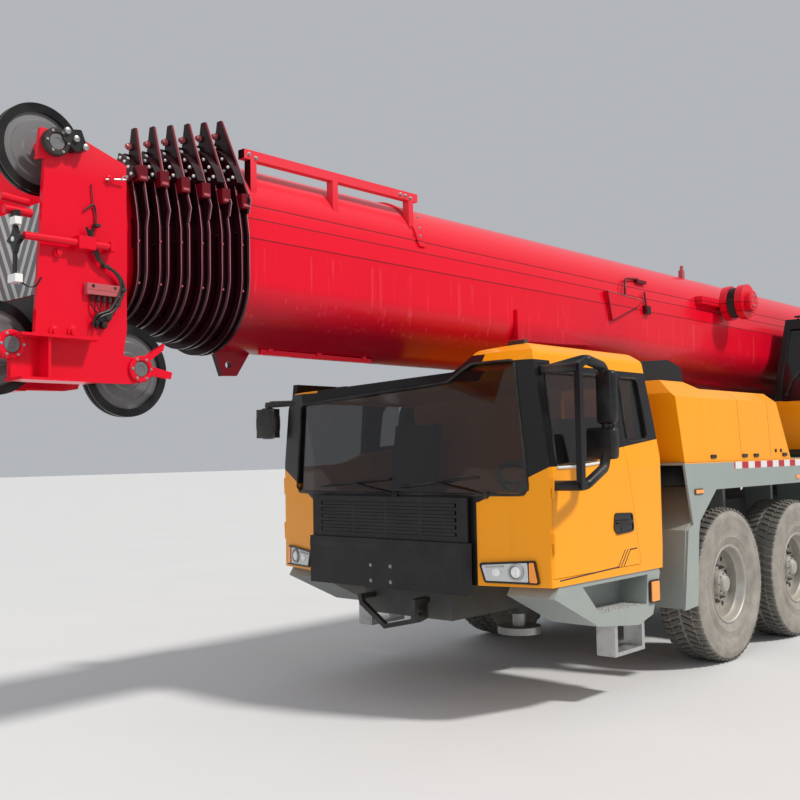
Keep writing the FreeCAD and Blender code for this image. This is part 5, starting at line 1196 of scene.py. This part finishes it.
def make_rope():
    """Hoist rope wound on the drum."""
    s = Shape()
    turns, steps = 34, 28
    last = turns * steps
    rings = [(k, *polar(0.239, math.tau * k / steps)) for k in range(last + 1)]
    s.tube([(DRUM[0] + x, -0.33 + 0.66 * k / last, DRUM[1] + z) for k, x, z in rings], 0.0096, 6)
    make("hoist_rope", s, "winch", "rope", 0.0, 60)


def make_operator_trim():
    """Wiper, grab rail and roof guard bars of the operator's cab."""
    s = Shape()
    s.lathe([(-0.02, 0.0), (-0.02, 0.024), (0.012, 0.02), (0.012, 0.0)], (-2.104, 0.7, 2.5), "x", 16)
    s.tube(bent([(-2.096, 0.7, 2.5), (-2.128, 0.76, 2.66), (-2.259, 0.96, 2.95)], 0.03), 0.008, 8)
    s.tube([(-2.188, 0.84, 2.8), (-2.364, 1.08, 3.16)], 0.009, 8)
    s.tube(bent([(-2.17, 1.325, 2.1), (-2.17, 1.372, 2.12), (-2.17, 1.372, 2.58), (-2.17, 1.325, 2.6)], 0.03),
           0.013, 12)
    for y in (0.7, 0.84, 0.98, 1.12, 1.24):
        s.tube([(-2.54, y, 3.412), (-2.54, y, 3.452), (-3.5, y, 3.452), (-3.5, y, 3.412)], 0.009, 8)
    for x in (-2.54, -3.5):
        s.tube([(x, 0.66, 3.452), (x, 1.27, 3.452)], 0.011, 10)
    make("operator_cab_trim", s, "superstructure", "black", 0.0, 40)


def make_superstructure_trim():
    """Doors with louvres and latches on the housing, pin retainers on the boom-foot plates, slewing ring bolts."""
    s = Shape()
    face = -HOUSING_SIDE
    for low, high in ((-5.25, -4.23), (-4.17, -3.15)):
        s.paint(0)
        outline = oblong((low, 1.9), (high, 2.59), 0.03)
        s.frame(outline, grown(outline, -0.03), "y", face - 0.005, face + 0.001)
        for row in range(9):
            z = 2.18 + 0.038 * row
            s.prism([(face + 0.001, z), (face + 0.001, z + 0.03), (face - 0.011, z + 0.004)], "x",
                    low + 0.16, high - 0.16)
        s.paint(1)
        for x in (low + 0.16, high - 0.16):
            s.prism(oblong((x - 0.035, 1.985), (x + 0.035, 2.055), 0.012), "y", face - 0.012, face + 0.001)
    for side, _ in SIDES:
        plate = side * 0.52
        for (x, z), outer, inner in ((BOOM_PIVOT, 0.165, 0.098), (DRUM, 0.115, 0.05)):
            s.paint(0)
            s.lathe([(0.0, inner), (0.012, inner), (0.014, outer - 0.004), (0.01, outer), (0.0, outer)],
                    (x, plate, z), "y", 48, True, side)
            s.paint(2)
            for across, up in circle(0.5 * (outer + inner), 10, (x, z)):
                s.bolt((across, plate + side * 0.013, up), "y", 0.011, 0.014, side)
    s.paint(2)
    for x, y in circle(0.785, 48, (SLEW_X, 0.0)):
        if abs(y) > 0.56:
            s.bolt((x, y, 1.8), "z", 0.015, 0.016)
    make("superstructure_trim", s, "superstructure", "turntable black steel", 0.0015, 35)
    s = Shape()
    for y in (-1.1, -0.35, 0.35, 1.1):
        s.bolt((-7.03, y, 2.7), "z", 0.03, 0.026)
    for y in (-1.15, 1.15):
        for z in (2.02, 2.27, 2.43):
            s.bolt((-7.32, y, z), "x", 0.022, 0.018, -1)
    make("counterweight_bolts", s, "superstructure", "steel", 0.001, 35)


make_wheels()
make_sheaves()
make_head_fittings()
make_head_wiring()
make_head_sensor()
make_head_plates()
for number in range(6):
    make_mouth_trim(number, f"boom_stage_{number}" if number else "boom_base")
make_rail_bolts()
make_reel_trim()
make_boom_brackets()
make_window_seals()
make_wipers()
make_lamps()
make_front_trim()
for door_side, door_word in SIDES:
    make_door_trim(door_side, door_word)
make_mirrors()
make_hood_trim()
make_superstructure_trim()
make_rope()
make_operator_trim()


# Softened edges of the sheet-metal nodes

def soften(name, width):
    """Joins the node's split vertices, drops the seams inside flat faces and rounds its edges."""
    node = NODES[name]
    weld = node.modifiers.new("weld", "WELD")
    weld.merge_threshold = 0.0001
    flat = node.modifiers.new("flat", "DECIMATE")
    flat.decimate_type = "DISSOLVE"
    flat.angle_limit = math.radians(1.0)
    round_edges(node, width, 25)


# Nodes with their edges rounded, and by how much
EDGES = {"cab_shell": 0.012, "engine_hood": 0.012, "front_panel": 0.005, "counterweight": 0.015,
         "deck_and_mudguards": 0.005, "operator_cab_shell": 0.012, "turntable_frame": 0.005}
for soft_name, soft_width in EDGES.items():
    soften(soft_name, soft_width)


# The camera, lights and floor

# The camera fitted to the photograph: its place and turn, and its lens in pixels of the photograph
CAMERA_PLACE = (9.675, 5.375, 1.878)
YAW, PITCH, ROLL = (math.radians(angle) for angle in (41.506, 3.067, 1.075))
PHOTO_WIDTH = 800
FOCAL_LENGTH = 1025.3
CENTRE_ACROSS = 416.9
SENSOR = 36.0


def make_camera():
    forward = Vector((-math.cos(YAW) * math.cos(PITCH), -math.sin(YAW) * math.cos(PITCH), math.sin(PITCH)))
    right = Vector((-math.sin(YAW), math.cos(YAW), 0.0))
    down = -right.cross(forward)
    right, down = (math.cos(ROLL) * right + math.sin(ROLL) * down,
                   math.cos(ROLL) * down - math.sin(ROLL) * right)
    data = bpy.data.cameras.new("camera")
    data.sensor_width = SENSOR
    data.lens = FOCAL_LENGTH / PHOTO_WIDTH * SENSOR
    data.shift_x = -(CENTRE_ACROSS - PHOTO_WIDTH / 2) / PHOTO_WIDTH
    data.clip_end = 200.0
    camera = new_object("camera", data)
    camera.matrix_world = (Matrix.Translation(CAMERA_PLACE)
                           @ Matrix((right, -down, -forward)).transposed().to_4x4())
    bpy.context.scene.camera = camera


def aim(thing, direction):
    thing.rotation_euler = direction.to_track_quat("-Z", "Y").to_euler()


def make_studio():
    """Pale floor and sky with a warm sun from the left and a fill light in front."""
    bpy.context.scene.view_settings.view_transform = "Standard"
    world = bpy.data.worlds.new("studio")
    bpy.context.scene.world = world
    world.use_nodes = True
    fill(world.node_tree, world.node_tree.nodes["Background"], {"Color": (0.90, 0.93, 0.98, 1.0), "Strength": 0.50})
    data = bpy.data.lights.new("sun", "SUN")
    data.energy, data.angle, data.color = 3.0, math.radians(6.0), (1.0, 0.97, 0.92)
    aim(new_object("sun", data), Vector((0.25, -0.62, -0.75)))
    data = bpy.data.lights.new("front_fill", "AREA")
    data.shape, data.size, data.energy = "DISK", 9.0, 350.0
    light = new_object("front_fill", data)
    light.location = (16.0, 4.0, 7.0)
    aim(light, Vector((3.0, 0.0, 1.5)) - light.location)
    floor_mesh = bpy.data.meshes.new("floor")
    reach = 120.0
    floor_mesh.from_pydata([(-reach, -reach, 0), (reach, -reach, 0), (reach, reach, 0), (-reach, reach, 0)], [],
                           [(0, 1, 2, 3)])
    floor = new_object("floor", floor_mesh)
    s = Surface("floor_pale", (0.66, 0.66, 0.66), 0.7)
    s.layer(s.noise(0.8, 6).ramp(0.4, 0.7, 0.0, 0.25), (0.60, 0.60, 0.61))
    floor_mesh.materials.append(s.done())


make_camera()
make_studio()
